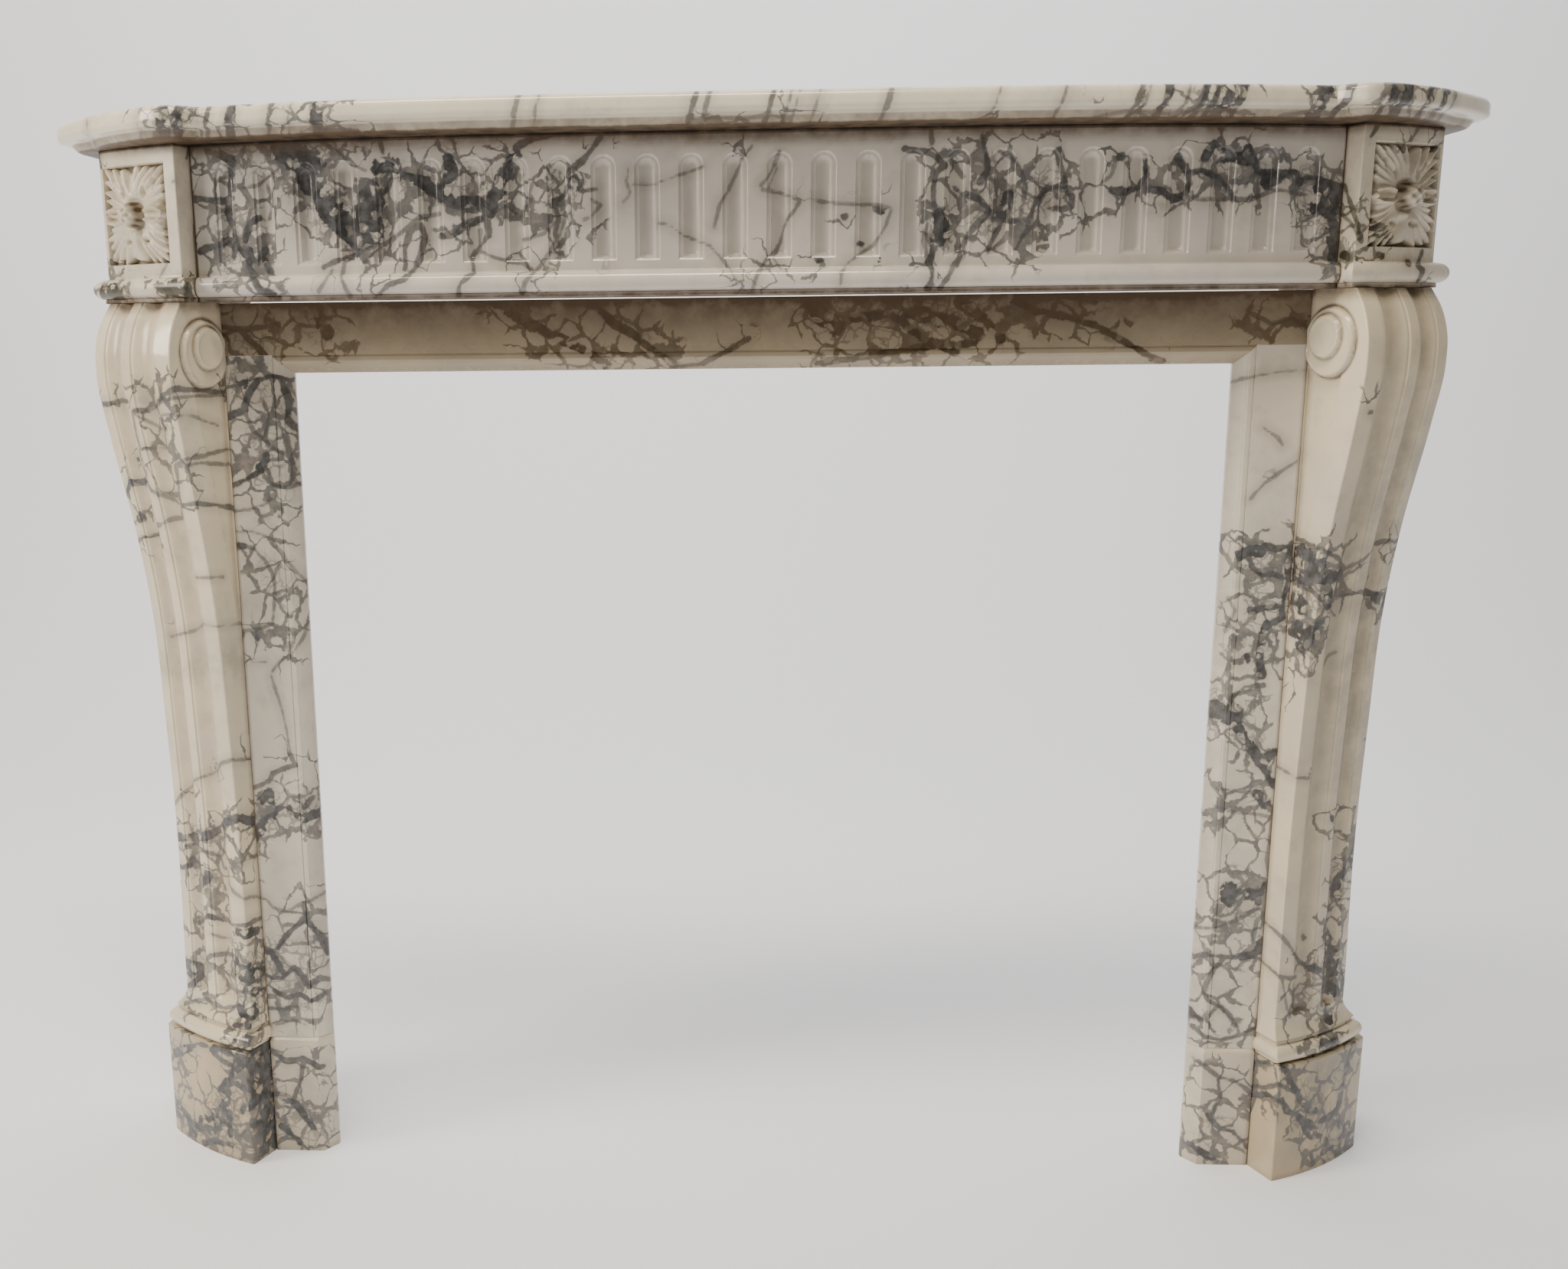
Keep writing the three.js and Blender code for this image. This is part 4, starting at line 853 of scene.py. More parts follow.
SLIP_VEINS = {
    -1: [
        (5, (-540, 812), (-530, 818), (-520, 820), (-515, 835), (-505, 850), (-490, 855), (-475, 850)),
        (3, (-520, 820), (-512, 800), (-500, 790)), (3, (-500, 830), (-495, 815), (-500, 795),
        (-497, 785), (-485, 778), (-478, 775)), (5, (-480, 850), (-475, 830), (-478, 810), (-470, 800)),
        (4, (-480, 795), (-478, 780), (-475, 760), (-478, 745)), (9, (-526, 856), (-520, 850)), (5,
        (-540, 744), (-525, 750), (-515, 755), (-505, 760), (-500, 775)), (7, (-508, 762), (-500, 770)),
        (4, (-500, 760), (-495, 745), (-480, 742), (-470, 745)),
        (3, (-540, 718), (-520, 720), (-505, 725), (-495, 735)), (6, (-536, 684), (-530, 682)), (3,
        (-530, 682), (-520, 680), (-510, 668), (-502, 655), (-500, 640), (-502, 620), (-505, 600),
        (-520, 595), (-538, 592)), (1.6, (-540, 697), (-520, 697), (-500, 690), (-490, 675),
        (-478, 655), (-468, 640)), (5, (-526, 592), (-522, 584)), (2.5, (-470, 600), (-475, 585),
        (-485, 570), (-500, 560), (-508, 550)), (2, (-510, 545), (-505, 525), (-500, 505), (-497, 485),
        (-495, 460)), (1.6, (-530, 560), (-515, 560)), (4, (-495, 460), (-490, 448), (-500, 445),
        (-515, 438), (-520, 430), (-530, 425), (-540, 422)), (7, (-530, 408), (-520, 418), (-518, 406)),
        (10, (-538, 368), (-530, 380), (-520, 390), (-510, 397), (-500, 398)),
        (8, (-500, 396), (-490, 390), (-480, 388), (-468, 392)), (4, (-485, 400), (-475, 410)), (2.5,
        (-540, 300), (-530, 295), (-525, 287), (-510, 282), (-500, 288), (-490, 292), (-470, 300)), (5,
        (-490, 292), (-488, 280), (-495, 270), (-505, 262), (-515, 250), (-522, 240)),
        (6, (-488, 275), (-480, 260), (-473, 245), (-470, 230)),
        (8, (-540, 238), (-530, 235), (-525, 225), (-518, 212)), (5, (-540, 210), (-530, 205),
        (-520, 205), (-512, 212), (-505, 218), (-495, 205), (-490, 195)), (5, (-530, 190), (-515, 182),
        (-500, 186), (-490, 178), (-476, 184)), (4, (-540, 170), (-520, 168), (-505, 172)),
        (4, (-490, 198), (-478, 204), (-470, 198)), (3, (-530, 150), (-510, 156), (-495, 150)),
    ],
    1: [
        (2, (468, 838), (480, 843), (500, 847), (520, 850), (538, 850)),
        (1.6, (500, 795), (515, 785), (520, 778)), (2, (492, 725), (505, 740), (520, 752), (535, 762)),
        (10, (486, 668), (496, 673), (506, 671)), (5, (495, 665), (500, 655), (510, 648), (520, 650),
        (530, 645)), (5, (510, 678), (520, 675), (535, 678)), (7, (536, 680), (534, 660), (536, 640),
        (532, 625), (532, 605), (520, 598)), (8, (518, 598), (514, 586), (512, 575), (513, 560),
        (516, 545)), (6, (500, 612), (515, 615), (532, 618)),
        (2, (478, 625), (485, 612), (480, 600), (478, 590)), (5, (499, 566), (501, 560)),
        (4, (518, 535), (500, 533), (490, 525), (485, 515)), (19, (474, 506), (488, 504)), (9,
        (492, 500), (500, 485), (510, 470), (520, 455), (530, 440), (538, 430)),
        (7, (538, 465), (522, 455)), (3, (480, 425), (500, 422), (518, 421)),
        (9, (520, 420), (530, 410)), (4, (530, 410), (538, 400)),
        (2, (480, 405), (500, 400), (520, 398), (535, 395)), (2.4, (538, 390), (535, 350), (538, 330)),
        (17, (499, 316), (501, 306)), (13, (506, 311), (532, 311)), (6, (535, 322), (530, 302)),
        (3, (470, 268), (495, 275), (515, 285), (530, 295)), (3, (538, 290), (530, 280), (528, 262)),
        (9, (538, 258), (532, 242), (518, 241)), (4, (468, 232), (480, 242), (500, 240), (520, 240)),
        (3.5, (500, 240), (488, 225), (482, 210), (480, 198), (485, 190), (500, 182), (510, 170),
        (518, 160), (520, 150)), (8, (470, 172), (478, 166)), (4, (474, 156), (484, 148), (500, 145),
        (520, 150), (538, 160)),
    ],
}
SLIP_CROWDS = {
    -1: [
        (-500, 800, 40, 70, 0.75), (-505, 640, 40, 80, 0.5), (-490, 400, 40, 30, 0.7),
        (-505, 215, 40, 65, 0.85),
    ],
    1: [
        (515, 640, 34, 50, 0.65), (500, 540, 40, 60, 0.45), (500, 400, 40, 40, 0.45),
        (515, 290, 34, 40, 0.7), (500, 190, 34, 50, 0.6),
    ],
}


def slip_rings(side):
    """Section on the plan carried up from the foot to a mitred top: z = foot + (top(x) - foot) t."""
    outer = JOINT_X - GAP
    moulding = [np.linspace(0, 10.8, 9), np.linspace(11.2, 18.7, 17)]
    across = np.concatenate([*moulding, np.linspace(19.2, outer - OPENING_HALF - 0.8, 34)])
    face_y = moulding_back(across, MOULDING)
    corner, behind = [outer - 0.3, outer, outer, outer - 0.3], np.linspace(outer - 8, OPENING_HALF, 8)
    x = np.concatenate([across + OPENING_HALF, corner, behind, [OPENING_HALF]])
    y = np.concatenate([face_y, [0.1, 0.6, 10, SLIP_BACK], np.full(8, SLIP_BACK), [17.0]])
    t = np.linspace(0, 1, 285)[:, None]
    top = OPENING_TOP + MITRE_RISE * np.clip((x - OPENING_HALF) / MOULDING, 0, 1) - GAP
    return np.stack([x + 0 * t, y + 0 * t, SLIP_FOOT + (top - SLIP_FOOT) * t], -1)


for side, name in SIDES:
    rings = slip_rings(side)
    u, v = rings[..., 0] * side, rings[..., 2]
    # painted shade in the corner against the console and deeper in the splay
    dirt = 0.6 * smooth(rings[..., 0], 534, 537.8) + 0.25 * np.clip(rings[..., 1] / SPLAY_DEPTH, 0, 1)
    fields = marks(u, v, SLIP_VEINS[side], SLIP_CROWDS[side], SLIP_CROWDS[side], dirt)
    stone(f"slip_{name}_stone", [(rings, fields)], [f"slip_{name}"], side)

# %% Slip plinths
SLIP_PLINTH_VEINS = {
    -1: [
        (5, (-536, 120), (-520, 108), (-500, 112), (-480, 100)),
        (7, (-536, 70), (-515, 60), (-500, 40), (-490, 20)), (4, (-500, 112), (-505, 85), (-515, 60)),
        (6, (-530, 30), (-510, 10)),
    ],
    1: [
        (4, (480, 120), (500, 104), (520, 98), (536, 86)),
        (5, (490, 60), (505, 44), (520, 40), (536, 22)), (3, (500, 104), (504, 80), (496, 60)),
        (7, (478, 20), (500, 8)),
    ],
}
for side, name in SIDES:
    z = np.concatenate([np.linspace(0, 131, 60), [131.7, 132.2, 133, 134, 134.7, 135]])[:, None]
    outer = JOINT_X - 1.6
    proud = PLINTH_PROUD * (1 - np.clip((z - PLINTH_TOP) / PLINTH_BEVEL, 0, 1))
    splay, splay_end = np.linspace(0, 1, 9), OPENING_HALF + 13
    x, y = ring_of(
        [OPENING_HALF + 13 * splay, SPLAY_DEPTH - (SPLAY_DEPTH + proud) * splay],
        [straight(splay_end, outer, 34) + 0 * z, -proud + 0 * np.arange(34)],
        [outer + 0 * z, -proud + (SLIP_BACK + proud) * np.linspace(0, 1, 6)],
        [straight(outer, OPENING_HALF, 8) + 0 * z, SLIP_BACK + 0 * z],
        [OPENING_HALF + 0 * z, SLIP_BACK + 0 * z],
    )
    u, v = x * side, z + 0 * x
    # painted shade in the corner against the console's plinth; darker towards the floor
    dirt = 0.5 * smooth(x, 531, 536.6) + 0.2 * (1 - smooth(z, 0, 8))
    crowds, hazes = [(505 * side, 50, 60, 60, 0.5)], [(505 * side, 40, 60, 60, 0.4)]
    fields = marks(u, v, SLIP_PLINTH_VEINS[side], crowds, hazes, dirt)
    piece = f"slip_plinth_{name}"
    stone(piece + "_stone", [(np.stack([x, y, v], -1), fields)], [piece], side)

# %% Lintel
LINTEL_VEINS = [
    (12, (-440, 926), (-436, 905), (-430, 896)), (9, (-262, 926), (-232, 906), (-200, 890), (-168, 874),
    (-150, 862)), (7, (-165, 926), (-145, 905), (-120, 890), (-100, 875), (-78, 860)),
    (4, (-85, 858), (-55, 862), (-30, 874), (-8, 886)), (14, (50, 924), (62, 908), (80, 896)), (7,
    (95, 905), (130, 908), (150, 895), (168, 882), (195, 872)),
    (12, (128, 924), (150, 912), (190, 900), (218, 888)), (9, (200, 920), (225, 900), (240, 884)),
    (8, (248, 924), (272, 910), (300, 905)), (6, (300, 905), (330, 896), (352, 884), (380, 868),
    (400, 858)), (6, (60, 862), (110, 868), (160, 876), (215, 880)),
    (5, (-520, 900), (-500, 880), (-490, 862)), (4, (-560, 908), (-520, 900), (-480, 905)),
    (3, (480, 905), (500, 895), (520, 900), (537, 890)), (5, (290, 926), (330, 918)),
]
LINTEL_CROWDS = [
    (-500, 895, 50, 30, 0.6), (140, 900, 90, 30, 0.55), (-130, 880, 60, 30, 0.3),
    (500, 895, 40, 30, 0.4),
]
x = np.concatenate([[-537.85, -537.6], np.linspace(-536, 536, 540), [537.6, 537.85]])[:, None]
slab_foot, slab_top = 875, 926.3
slab_face, slab_behind = np.linspace(slab_foot, 925.6, 26), np.linspace(slab_top, slab_foot, 6)
slab_z = np.concatenate([slab_face, [926.1, slab_top, slab_top], slab_behind, [slab_foot]])
slab_y = np.concatenate([np.zeros(26), [0.1, 0.6, 10], np.full(6, SLIP_BACK), [12.0]])
slab = np.stack([x + 0 * slab_z, slab_y + 0 * x, slab_z + 0 * x], -1)
up = np.concatenate([np.linspace(0, 9.8, 8), np.linspace(10.2, 17.7, 15), [18.0, 18.8, 18.8, 9, 0, 0]])
strip_y = np.concatenate([moulding_back(up[:23], MITRE_RISE), [0.3, 1.0, 20, 20, 20, 17]])
reach = OPENING_HALF + np.minimum(1, up / MITRE_RISE) * MOULDING
t = np.linspace(-1, 1, 520)[:, None]
strip = np.stack([t * reach, strip_y + 0 * t, OPENING_TOP + up + 0 * t], -1)
shells = []
for rings in (slab, strip):
    u, v = rings[..., 0], rings[..., 2]
    # painted shadow of the frieze's overhang, darkest at the top; painted shade deeper in the splay
    overhang_shadow = 0.85 * smooth(v, 862, 930) + 0.3 * smooth(v, 915, 926)
    dirt = overhang_shadow + 0.2 * np.clip(rings[..., 1] / SPLAY_DEPTH, 0, 1)
    shells.append((rings, marks(u, v, LINTEL_VEINS, LINTEL_CROWDS, LINTEL_CROWDS, dirt)))
stone("slip_lintel_stone", shells, ["slip_lintel"])

# %% [markdown]
# ## The shelf
# The shelf follows the stones below, with a dip over each joint and round corners. Its moulded edge
# could be swept along a curve, but sweeps pinch in the dip. Here every point of the edge is paired
# with a point of the line under it, and the profile runs between the two; on the top the lines go on
# to a spine in the middle, where front and back meet.

# %% Shelf outline
END_X, END_Y = turned(BLOCK_RADIUS, BLOCK_END)



def corner_line(from_arris, from_end):
    """A line round the shelf's corner: offsets from the block's inner arris, then from its end."""
    inner = [(ARRIS_X + dx, ARRIS_Y + dy) for dx, dy in from_arris]
    return np.array(inner + [(END_X + dx, END_Y + dy) for dx, dy in from_end])


CORNER = corner_line(((-39.5, -39), (-28.5, -50), (-14.5, -56), (18.5, -44)),
                     ((-22, -66), (31, -7), (50, 24), (54, 43)))
UNDER = corner_line(((-13.5, 18), (-6.5, 11), (0, 0), (31.5, 14)),
                    ((-28, -25), (0, 0), (0.4, 21), (0.4, 43)))
u = np.linspace(-1, 1, 361)[1:-1]
bow = (CORNER[0, 1] - SHELF_MIDDLE_Y) * (0.18 * u ** 2 + 0.82 * u ** 4)
middle_edge = np.stack([u * CORNER[0, 0], SHELF_MIDDLE_Y + bow], -1)
middle_under = np.stack([u * UNDER[0, 0], frieze_front(u * UNDER[0, 0])], -1)
t = np.linspace(0, 7, 90)
corner_edge = np.stack([through(t, np.arange(8), CORNER[:, i]) for i in (0, 1)], -1)
corner_under = np.stack([through(t, np.arange(8), UNDER[:, i]) for i in (0, 1)], -1)
side_y = np.linspace(CORNER[-1, 1], WALL, 26)[1:]
side_edge = np.stack([np.full(25, CORNER[-1, 0]), side_y], -1)
side_under = np.stack([np.full(25, UNDER[-1, 0]), side_y], -1)
half_edge = np.concatenate([corner_edge, side_edge])
half_under = np.concatenate([corner_under, side_under])
mirror = np.array([-1, 1])
front_edge = np.concatenate([half_edge[::-1] * mirror, middle_edge, half_edge])
front_under = np.concatenate([half_under[::-1] * mirror, middle_under, half_under])
count = len(front_edge)
spine = np.stack([np.linspace(-1, 1, count) * 600, np.full(count, 60.0)], -1)
back_edge = np.stack([np.linspace(1, -1, count + 2)[1:-1] * CORNER[-1, 0], np.full(count, WALL)], -1)
edge = np.concatenate([front_edge, back_edge])
under = np.concatenate([front_under, back_edge * (UNDER[-1, 0] / CORNER[-1, 0], 1)])
spine = np.concatenate([spine, spine[::-1]])

# %% Shelf: edge profile, top and underside
# how far in from the edge, and how high over the underside
EDGE_PROFILE = np.array([
    (34, 0), (28, 0.5), (23, 1.5), (20.4, 2.8), (18.5, 4.5), (17.2, 6.2), (16, 7.6), (14.9, 8.4),
    (14, 8.8), (11, 9.2), (7, 9.8), (4.5, 10.2), (2.6, 10.9), (1.2, 12), (0.4, 13.2), (0, 14.5),
    (0, 16.5), (0, 19), (0, 21.4), (0.3, 23.2), (1.0, 24.6), (2.2, 26.1), (3.8, 27.2), (5.8, 28.0),
    (9, 28.4),
])
inset, rise = EDGE_PROFILE.T
share = inset[:, None, None] / np.maximum(np.linalg.norm(under - edge, axis=1), 1e-6)[None, :, None]
at_back = np.arange(2 * count)[None, :, None] >= count
share = np.where(at_back, inset[:, None, None] / (CORNER[-1, 0] - UNDER[-1, 0]), share)
band = edge + (under - edge) * share
step = np.linspace(0, 1, 46)[1:]
top = band[-1] + (spine - band[-1]) * step[:, None, None]
step = np.linspace(0, 1, 12)[1:]
bottom = band[0] + (spine - band[0]) * step[:, None, None]
plan = np.concatenate([bottom[::-1], band, top])
height = np.concatenate([np.zeros(len(bottom)), rise, np.full(len(top), rise[-1])])
level = np.broadcast_to((SHELF_FLOOR + height)[:, None, None], plan.shape[:2] + (1,))
rings = np.concatenate([plan, level], -1)
# dark stripes that come down over the edge: x and width
STRIPES = [
    (-645, 2), (-575, 2), (-550, 10), (-536, 7), (-512, 4), (-488, 7), (-449, 4), (-429, 1.5),
    (-402, 10), (-218, 2.5), (-199, 1.5), (-58, 4), (-46, 3), (11, 4), (27, 3), (34, 2), (52, 1.5),
    (115, 3), (211, 1.5), (269, 2.5), (336, 4), (343, 2), (361, 6), (379, 2.5), (394, 5), (405, 5),
    (416, 11), (428, 7), (505, 14), (525, 5), (564, 9), (578, 9), (606, 7), (624, 6), (636, 3),
]
SHELF_VEINS = [
    (width, (x - 6, 0), (x - 1, 12), (x + 4, 29), (x + 22, 80), (x + 6, 150), (x + 34, 230))
    for x, width in STRIPES]
SHELF_VEINS += [
    (2, (-62, 3), (-40, 7), (-14, 5), (10, 8), (30, 4)),
    (2, (300, 2), (330, 7), (370, 4), (410, 8)), (4, (-400, 4), (-368, 2)),
    (3, (470, 2), (500, 7), (520, 4)), (2, (-560, 8), (-540, 2)),
    (2.5, (-420, 60), (-300, 100), (-180, 90), (0, 150)),
    (3, (-60, 160), (60, 200), (200, 210), (390, 200)),
]
SHELF_CROWDS = [
    (-544, 20, 24, 40, 0.5), (-400, 10, 30, 50, 0.4), (-10, 4, 50, 6, 0.5), (400, 20, 40, 60, 0.45),
    (360, 4, 50, 6, 0.5), (575, 20, 30, 50, 0.4), (-200, 160, 160, 60, 0.3),
]
away = np.linalg.norm(plan - edge, axis=2)
u = rings[..., 0]
v = height[:, None] + np.where(height[:, None] > 28, away, 0)
low = height[:, None]
# painted shade on the moulded underside, and a painted black shadow line along its foot
dirt = 0.66 * (1 - smooth(low, 7.6, 9.0)) + 1.0 * (1 - smooth(low, 0.2, 2.6))
shelf_fields = marks(u, v, SHELF_VEINS, SHELF_CROWDS, SHELF_CROWDS, dirt)
shelf = stone("shelf_stone", [(rings, shelf_fields)], ["shelf"])
welded = bmesh.new()
welded.from_mesh(shelf.data)
bmesh.ops.delete(welded, geom=[f for f in welded.faces if len(f.verts) > 4], context="FACES_ONLY")
bmesh.ops.remove_doubles(welded, verts=welded.verts, dist=1e-6)
bmesh.ops.recalc_face_normals(welded, faces=welded.faces)
welded.to_mesh(shelf.data)
welded.free()

# %% [markdown]
# ## Marble
# The stone is a polished white breccia marble: calcite, IOR about 1.5, with grey veins. The polish is
# two centuries old, so roughness is 0.14 to 0.28 and uneven. All patterns read object coordinates in
# metres, so a pattern 30 mm across has a scale of about 1 / 0.03.

# %% Colour and node helpers
def colour(code):
    """sRGB hex to linear: c / 12.92 below 0.04045, otherwise ((c + 0.055) / 1.055)^2.4."""
    parts = [int(code[i:i + 2], 16) / 255 for i in (1, 3, 5)]
    return tuple(c / 12.92 if c <= 0.04045 else ((c + 0.055) / 1.055) ** 2.4 for c in parts) + (1.0,)


def add(tree, kind, settings=None, links=None, out=0):
    """One node and its output: settings are its properties, links its sockets in their order, or by
    name or number, each a value or another node's output."""
    made = tree.nodes.new("ShaderNode" + kind)
    for key, value in (settings or {}).items():
        setattr(made, key, value)
    for key, value in links.items() if isinstance(links, dict) else enumerate(links or ()):
        if isinstance(value, bpy.types.NodeSocket):
            tree.links.new(value, made.inputs[key])
        else:
            made.inputs[key].default_value = value
    return made.outputs[out] if len(made.outputs) else made


TIMES, TIMES_PLUS = {"operation": "MULTIPLY"}, {"operation": "MULTIPLY_ADD"}
LESS, LARGER, SMALLER = ({"operation": word} for word in ("SUBTRACT", "MAXIMUM", "MINIMUM"))
SOFT, TINTS = {"interpolation_type": "SMOOTHSTEP"}, {"data_type": "RGBA"}
EDGE, CENTRE = {"feature": "DISTANCE_TO_EDGE"}, {"feature": "F1"}

# %% Marble material
def marble(name, cream, cool, cell_mm, dark="#3B3C3E", mid="#636467", shade_and_grime_colour="#5A4733",
           roughness=0.14):
    """A vein fills the points inside its distance roughened by noise, less round pale lumps. Around
    a bold vein and in a crowd the gaps between warped cells of cell_mm are filled too: the noise
    that chooses is read at a cell's own point, so a cell is outlined whole or not at all."""
    material = bpy.data.materials.new(name)
    material.use_nodes = True
    tree = material.node_tree
    tree.nodes.clear()
    place = add(tree, "TexCoord", out="Object")
    bold, distance, crowd, haze, dirt = (
        add(tree, "Attribute", {"attribute_name": key}, out="Fac")
        for key in ("bold", "vein", "crowd", "haze", "dirt"))
    # noise 125 mm across, then 26, 18, 12 and 4 mm
    broad, patch, coarse, stain, fine = (
        add(tree, "TexNoise", None,
            {"Vector": place, "Scale": scale, "Detail": detail, "Roughness": 0.6})
        for scale, detail in ((8, 3), (38, 3), (55, 5), (85, 4), (260, 3)))
    turbulence = {"Vector": place, "Scale": 42, "Detail": 3, "Roughness": 0.55}
    swirl = add(tree, "TexNoise", None, turbulence, out="Color")
    bent = add(tree, "VectorMath", TIMES_PLUS, [swirl, (0.024, 0.024, 0.024), place])

    # the drawn veins, with round pale lumps of 12 mm left in the broad ones
    drift = add(tree, "Math", LESS, [coarse, 0.5])
    sway = add(tree, "Math", TIMES_PLUS, [bold, 2.4, 3.4])
    vein = add(tree, "Math", TIMES_PLUS, [drift, sway, distance])
    vein = add(tree, "Math", TIMES_PLUS, [fine, 1.2, vein])
    core = add(tree, "MapRange", SOFT, [vein, 0.2, 2.1, 1, 0])
    lump = {"Vector": bent, "Scale": 1000 / 12}
    middle = add(tree, "TexVoronoi", CENTRE, lump, out="Distance")
    chance = add(tree, "SeparateColor", None, [add(tree, "TexVoronoi", CENTRE, lump, out="Color")])
    pale = add(tree, "MapRange", SOFT, [middle, 0.36, 0.5, 0.92, 0])
    pale = add(tree, "Math", TIMES, [pale, add(tree, "MapRange", SOFT, [chance, 0.36, 0.44, 0, 1])])
    pale = add(tree, "Math", TIMES, [pale, add(tree, "MapRange", SOFT, [bold, 2.0, 4.5, 0, 1])])
    core = add(tree, "Math", TIMES, [core, add(tree, "Math", LESS, [1.0, pale])])

    # the net of cells: wide where a bold vein is near or the net is crowded
    cells = {"Vector": bent, "Scale": 1000 / cell_mm}
    own_point = add(tree, "TexVoronoi", CENTRE, cells, out="Position")
    region = add(tree, "TexNoise", None, {"Vector": own_point, "Scale": 20, "Detail": 2})
    strength = add(tree, "MapRange", SOFT, [bold, 1.0, 5.5, 0.2, 0.8])
    near = add(tree, "MapRange", SOFT, [distance, 8.0, 34.0, 1.0, 0])
    crowded = add(tree, "Math", TIMES_PLUS, [near, strength, add(tree, "Math", TIMES, [crowd, 1.25])])
    crowded = add(tree, "Math", TIMES_PLUS, [region, 1.7, crowded])
    share = add(tree, "MapRange", SOFT, [crowded, 1.2, 1.4, 0, 1])
    width = add(tree, "MapRange", SOFT, [coarse, 0.3, 0.7, 0.7, 2.9])
    width = add(tree, "Math", TIMES, [share, width])
    gaps = []
    for size, rounding in ((cell_mm, 2.6), (cell_mm * 0.45, 1.0)):
        cell = {"Vector": bent, "Scale": 1000 / size}
        edge = add(tree, "TexVoronoi", EDGE, cell)
        from_point = add(tree, "TexVoronoi", CENTRE, cell)
        corner = add(tree, "MapRange", None, [from_point, 0.6, 0.95, 0, rounding])
        gaps.append(add(tree, "Math", LESS, [add(tree, "Math", TIMES, [edge, size]), corner]))
    open_large = add(tree, "Math", TIMES_PLUS, [fine, 0.9, add(tree, "Math", LESS, [width, gaps[0]])])
    large = add(tree, "MapRange", SOFT, [open_large, -0.2, 1.3, 0, 1])
    large = add(tree, "Math", TIMES, [large, add(tree, "MapRange", SOFT, [share, 0.0, 0.5, 0, 1])])
    tight = add(tree, "MapRange", SOFT, [crowded, 1.6, 2.05, 0, 0.9])
    open_small = add(tree, "Math", TIMES_PLUS, [fine, 0.8, add(tree, "Math", LESS, [tight, gaps[1]])])
    small = add(tree, "MapRange", SOFT, [open_small, -0.1, 1.1, 0, 0.7])
    small = add(tree, "Math", TIMES, [small, add(tree, "MapRange", SOFT, [tight, 0.0, 0.6, 0, 1])])
    net = add(tree, "Math", LARGER, [large, small])
    net = add(tree, "Math", TIMES, [net, add(tree, "MapRange", SOFT, [stain, 0.35, 0.65, 0.6, 0.9])])

    # colour: cream body, grey haze, net, veins, then painted shade and grime, and near-black painted
    # shadow lines and joints
    tone = add(tree, "MapRange", SOFT, [broad, 0.35, 0.65])
    body = add(tree, "Mix", TINTS, {0: tone, 6: colour(cream), 7: colour(cool)}, out=2)
    cloud = add(tree, "MapRange", SOFT, [patch, 0.5, 0.75, 0, 0.3])
    body = add(tree, "Mix", TINTS, {0: cloud, 6: body, 7: colour("#B3AA9A")}, out=2)
    veil = add(tree, "Math", TIMES, [haze, add(tree, "MapRange", SOFT, [patch, 0.3, 0.62, 0, 0.7])])
    veil = add(tree, "Math", LARGER, [veil, add(tree, "MapRange", SOFT, [vein, 0.0, 12.0, 0.3, 0])])
    body = add(tree, "Mix", TINTS, {0: veil, 6: body, 7: colour("#8F8980")}, out=2)
    depth = add(tree, "MapRange", SOFT, [stain, 0.35, 0.68])
    grey = add(tree, "Mix", TINTS, {0: depth, 6: colour(dark), 7: colour(mid)}, out=2)
    body = add(tree, "Mix", TINTS, {0: net, 6: body, 7: grey}, out=2)
    core = add(tree, "Math", TIMES, [core, add(tree, "MapRange", SOFT, [bold, 0.6, 3.0, 0.55, 0.95])])
    body = add(tree, "Mix", TINTS, {0: core, 6: body, 7: grey}, out=2)
    # painted shade and grime: the mask, varied by noise, darkens the body brown; above 1.3 it goes near
    # black for painted shadow lines and dark joints
    dirt = add(tree, "Math", TIMES, [dirt, add(tree, "MapRange", SOFT, [coarse, 0.25, 0.7, 0.7, 1.1])])
    black_joint_and_shadow = add(tree, "MapRange", SOFT, [dirt, 1.3, 1.9, 0, 0.9])
    dirt = add(tree, "Math", SMALLER, [dirt, 0.97])
    body = add(tree, "Mix", TINTS, {0: dirt, 6: body, 7: colour(shade_and_grime_colour)}, out=2)
    body = add(tree, "Mix", TINTS, {0: black_joint_and_shadow, 6: body, 7: colour("#1D1711")}, out=2)

    # polish: a slow wave from hand rubbing, and a fine grain
    rough = add(tree, "Math", TIMES_PLUS, [stain, 0.12, roughness - 0.06])
    rough = add(tree, "Math", TIMES_PLUS, [dirt, 0.35, rough])
    rubbed = add(tree, "TexNoise", None, {"Vector": place, "Scale": 30, "Detail": 3})
    wave = add(tree, "Bump", None, {"Strength": 0.35, "Distance": 0.0012, "Height": rubbed})
    grain = add(tree, "TexNoise", None, {"Vector": place, "Scale": 700, "Detail": 3})
    normal = add(tree, "Bump", None,
                 {"Strength": 0.12, "Distance": 0.0002, "Height": grain, "Normal": wave})
    shader = add(tree, "BsdfPrincipled", None,
                 {"Base Color": body, "Roughness": rough, "IOR": 1.5, "Normal": normal})
    add(tree, "OutputMaterial", None, {"Surface": shader})
    print(name, "has", len(tree.nodes), "nodes")
    return material


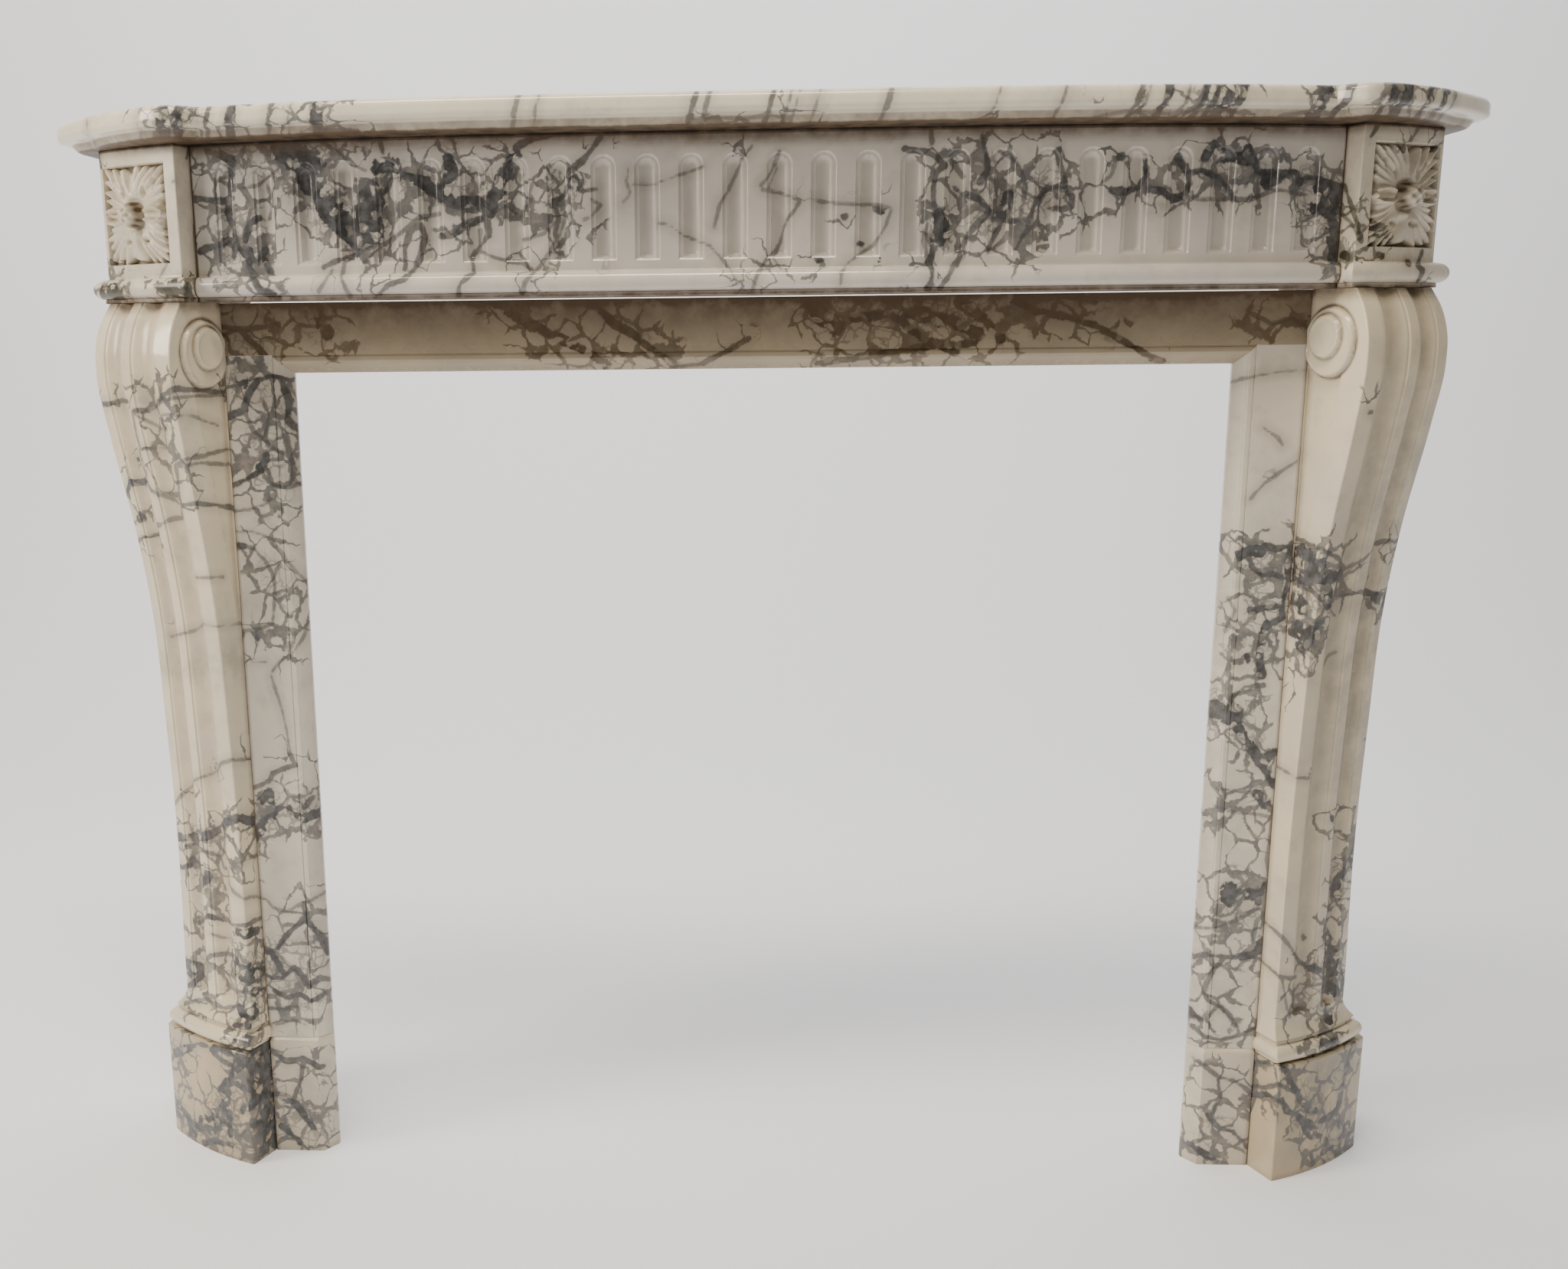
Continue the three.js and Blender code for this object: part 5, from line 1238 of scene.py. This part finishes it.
finishes = {
    "shelf": marble("polished_breccia_marble_shelf", "#EEE6D0", "#E2DBCA", 30),
    "frieze": marble("polished_breccia_marble_frieze", "#D9D2C8", "#CBC6C0", 24),
    "corner_block": marble("carved_white_marble", "#E6DCC8", "#D9D1C1", 22, "#35342C", "#5C5A4B",
                           roughness=0.28),
    "console": marble("polished_veined_marble_console", "#E6DABF", "#D8CFBA", 26),
    "console_plinth": marble("polished_breccia_marble_plinth", "#C6B596", "#B8AC93", 30,
                             roughness=0.2),
    "slip": marble("polished_veined_marble_slip", "#E2DACA", "#D6D0C4", 27),
    "slip_plinth": marble("polished_veined_marble_slip_plinth", "#D8CEBA", "#CBC2B2", 28,
                          roughness=0.2),
    # the lintel's darker brown colours are painted shade under the frieze's overhang
    "slip_lintel": marble("veined_marble_lintel_painted_shade", "#B3A58C", "#A59983", 26, "#473B29",
                          "#64553F", "#54412D", roughness=0.22),
}
for piece in [o for o in bpy.data.objects if o.name.endswith("_stone")]:
    key = piece.name.replace("_stone", "").replace("_left", "").replace("_right", "")
    piece.data.materials.append(finishes[key])

# %% [markdown]
# ## Room, light and camera
# The floor is a plain pale sheet that curves up behind the mantel, as in a studio. One broad soft
# light stands high on the left, so the left fronts and the right cheek are bright. A long one hangs
# overhead, a third washes the sheet, and the pale room fills the shadows. The camera is put where
# the photographer stood.

# %% Floor and backdrop
floor_run, radius = 5.0, 1.2
a = np.linspace(0, math.pi / 2, 24)
sweep_y = np.concatenate([[-14.0], 1.6 + radius * np.sin(a), [1.6 + radius]])
sweep_z = np.concatenate([[0.0], radius - radius * np.cos(a), [floor_run]])
x = np.linspace(-14, 14, 3)
grid = np.stack(np.broadcast_arrays(x[None, :], sweep_y[:, None], sweep_z[:, None]), -1)
index = np.arange(grid.shape[0] * 3).reshape(-1, 3)
quads = np.stack([index[:-1, :-1], index[:-1, 1:], index[1:, 1:], index[1:, :-1]], -1).reshape(-1, 4)
mesh = bpy.data.meshes.new("studio_sweep")
mesh.from_pydata(grid.reshape(-1, 3).tolist(), [], quads.tolist())
mesh.shade_smooth()
sweep = bpy.data.objects.new("studio_sweep", mesh)
bpy.context.scene.collection.objects.link(sweep)
paper = bpy.data.materials.new("pale_paper")
paper.use_nodes = True
paper_shader = paper.node_tree.nodes["Principled BSDF"]
paper_shader.inputs["Base Color"].default_value = colour("#E9EAEE")
paper_shader.inputs["Emission Color"].default_value = colour("#FAFBFF")
paper_shader.inputs["Emission Strength"].default_value = 0.25
paper_shader.inputs["Roughness"].default_value = 0.9
paper_shader.inputs["Specular IOR Level"].default_value = 0.1
mesh.materials.append(paper)


# %% Lights
def area_light(name, place, aim, size, power, tint):
    """A square soft light: its -z axis points from place to aim."""
    light = bpy.data.lights.new(name, "AREA")
    light.shape, light.size, light.size_y = "RECTANGLE", *size
    light.energy, light.color = power, colour(tint)[:3]
    made = bpy.data.objects.new(name, light)
    ahead = np.array(aim, float) - place
    ahead /= np.linalg.norm(ahead)
    right = np.cross(ahead, (0, 0, 1))
    right /= np.linalg.norm(right)
    upward = np.cross(right, ahead)
    turn = np.eye(4)
    turn[:3, :3] = np.stack([right, upward, -ahead], 1)
    turn[:3, 3] = place
    made.matrix_world = Matrix(turn.tolist())
    bpy.context.scene.collection.objects.link(made)


area_light("window_left", (-3.0, -1.15, 2.0), (0, 0, 0.75), (1.1, 1.5), 80, "#FFF4E4")
area_light("ceiling_soft", (-0.4, -0.9, 3.0), (0, -0.1, 0.5), (1.6, 0.5), 66, "#FFF4E2")
area_light("backdrop_wash", (0, 0.9, 2.9), (0, 2.8, 1.0), (4.0, 0.4), 66, "#FFFFFF")
world = bpy.data.worlds.new("studio_air")
world.use_nodes = True
world.node_tree.nodes["Background"].inputs["Color"].default_value = colour("#E2D2B8")
world.node_tree.nodes["Background"].inputs["Strength"].default_value = 0.2
bpy.context.scene.world = world

# %% Camera
# The photograph was cut to its frame, so the lens is shifted: the point straight ahead of the lens
# is at (852, 953) of a picture 2048 by 1658.
YAW, PITCH, ROLL = 0.057082, -0.232703, 0.011431
LENS_PIXELS, AHEAD, PICTURE = 2202.0, (852.0, 953.35), (2048, 1658)
yaw = Matrix.Rotation(YAW, 3, "Z")
pitch = Matrix.Rotation(PITCH, 3, "X")
roll = Matrix.Rotation(ROLL, 3, "Y")
turn = np.array(yaw @ pitch @ roll)
eye = bpy.data.cameras.new("photograph")
eye.sensor_width = 36
eye.lens = 36 * LENS_PIXELS / PICTURE[0]
eye.shift_x = (PICTURE[0] / 2 - AHEAD[0]) / PICTURE[0]
eye.shift_y = (AHEAD[1] - PICTURE[1] / 2) / PICTURE[0]
camera = bpy.data.objects.new("photograph", eye)
place = np.eye(4)
place[:3, :3] = np.stack([turn[:, 0], turn[:, 2], -turn[:, 1]], 1)
# 1.72 m before the slips' face and 0.9 m above the floor
place[:3, 3] = (-0.00965, -1.71955 + SHIFT_Y / 1000, 0.89539)
camera.matrix_world = Matrix(place.tolist())
bpy.context.scene.collection.objects.link(camera)
bpy.context.scene.camera = camera
print("lens", round(eye.lens, 2), "shift", round(eye.shift_x, 4), round(eye.shift_y, 4))
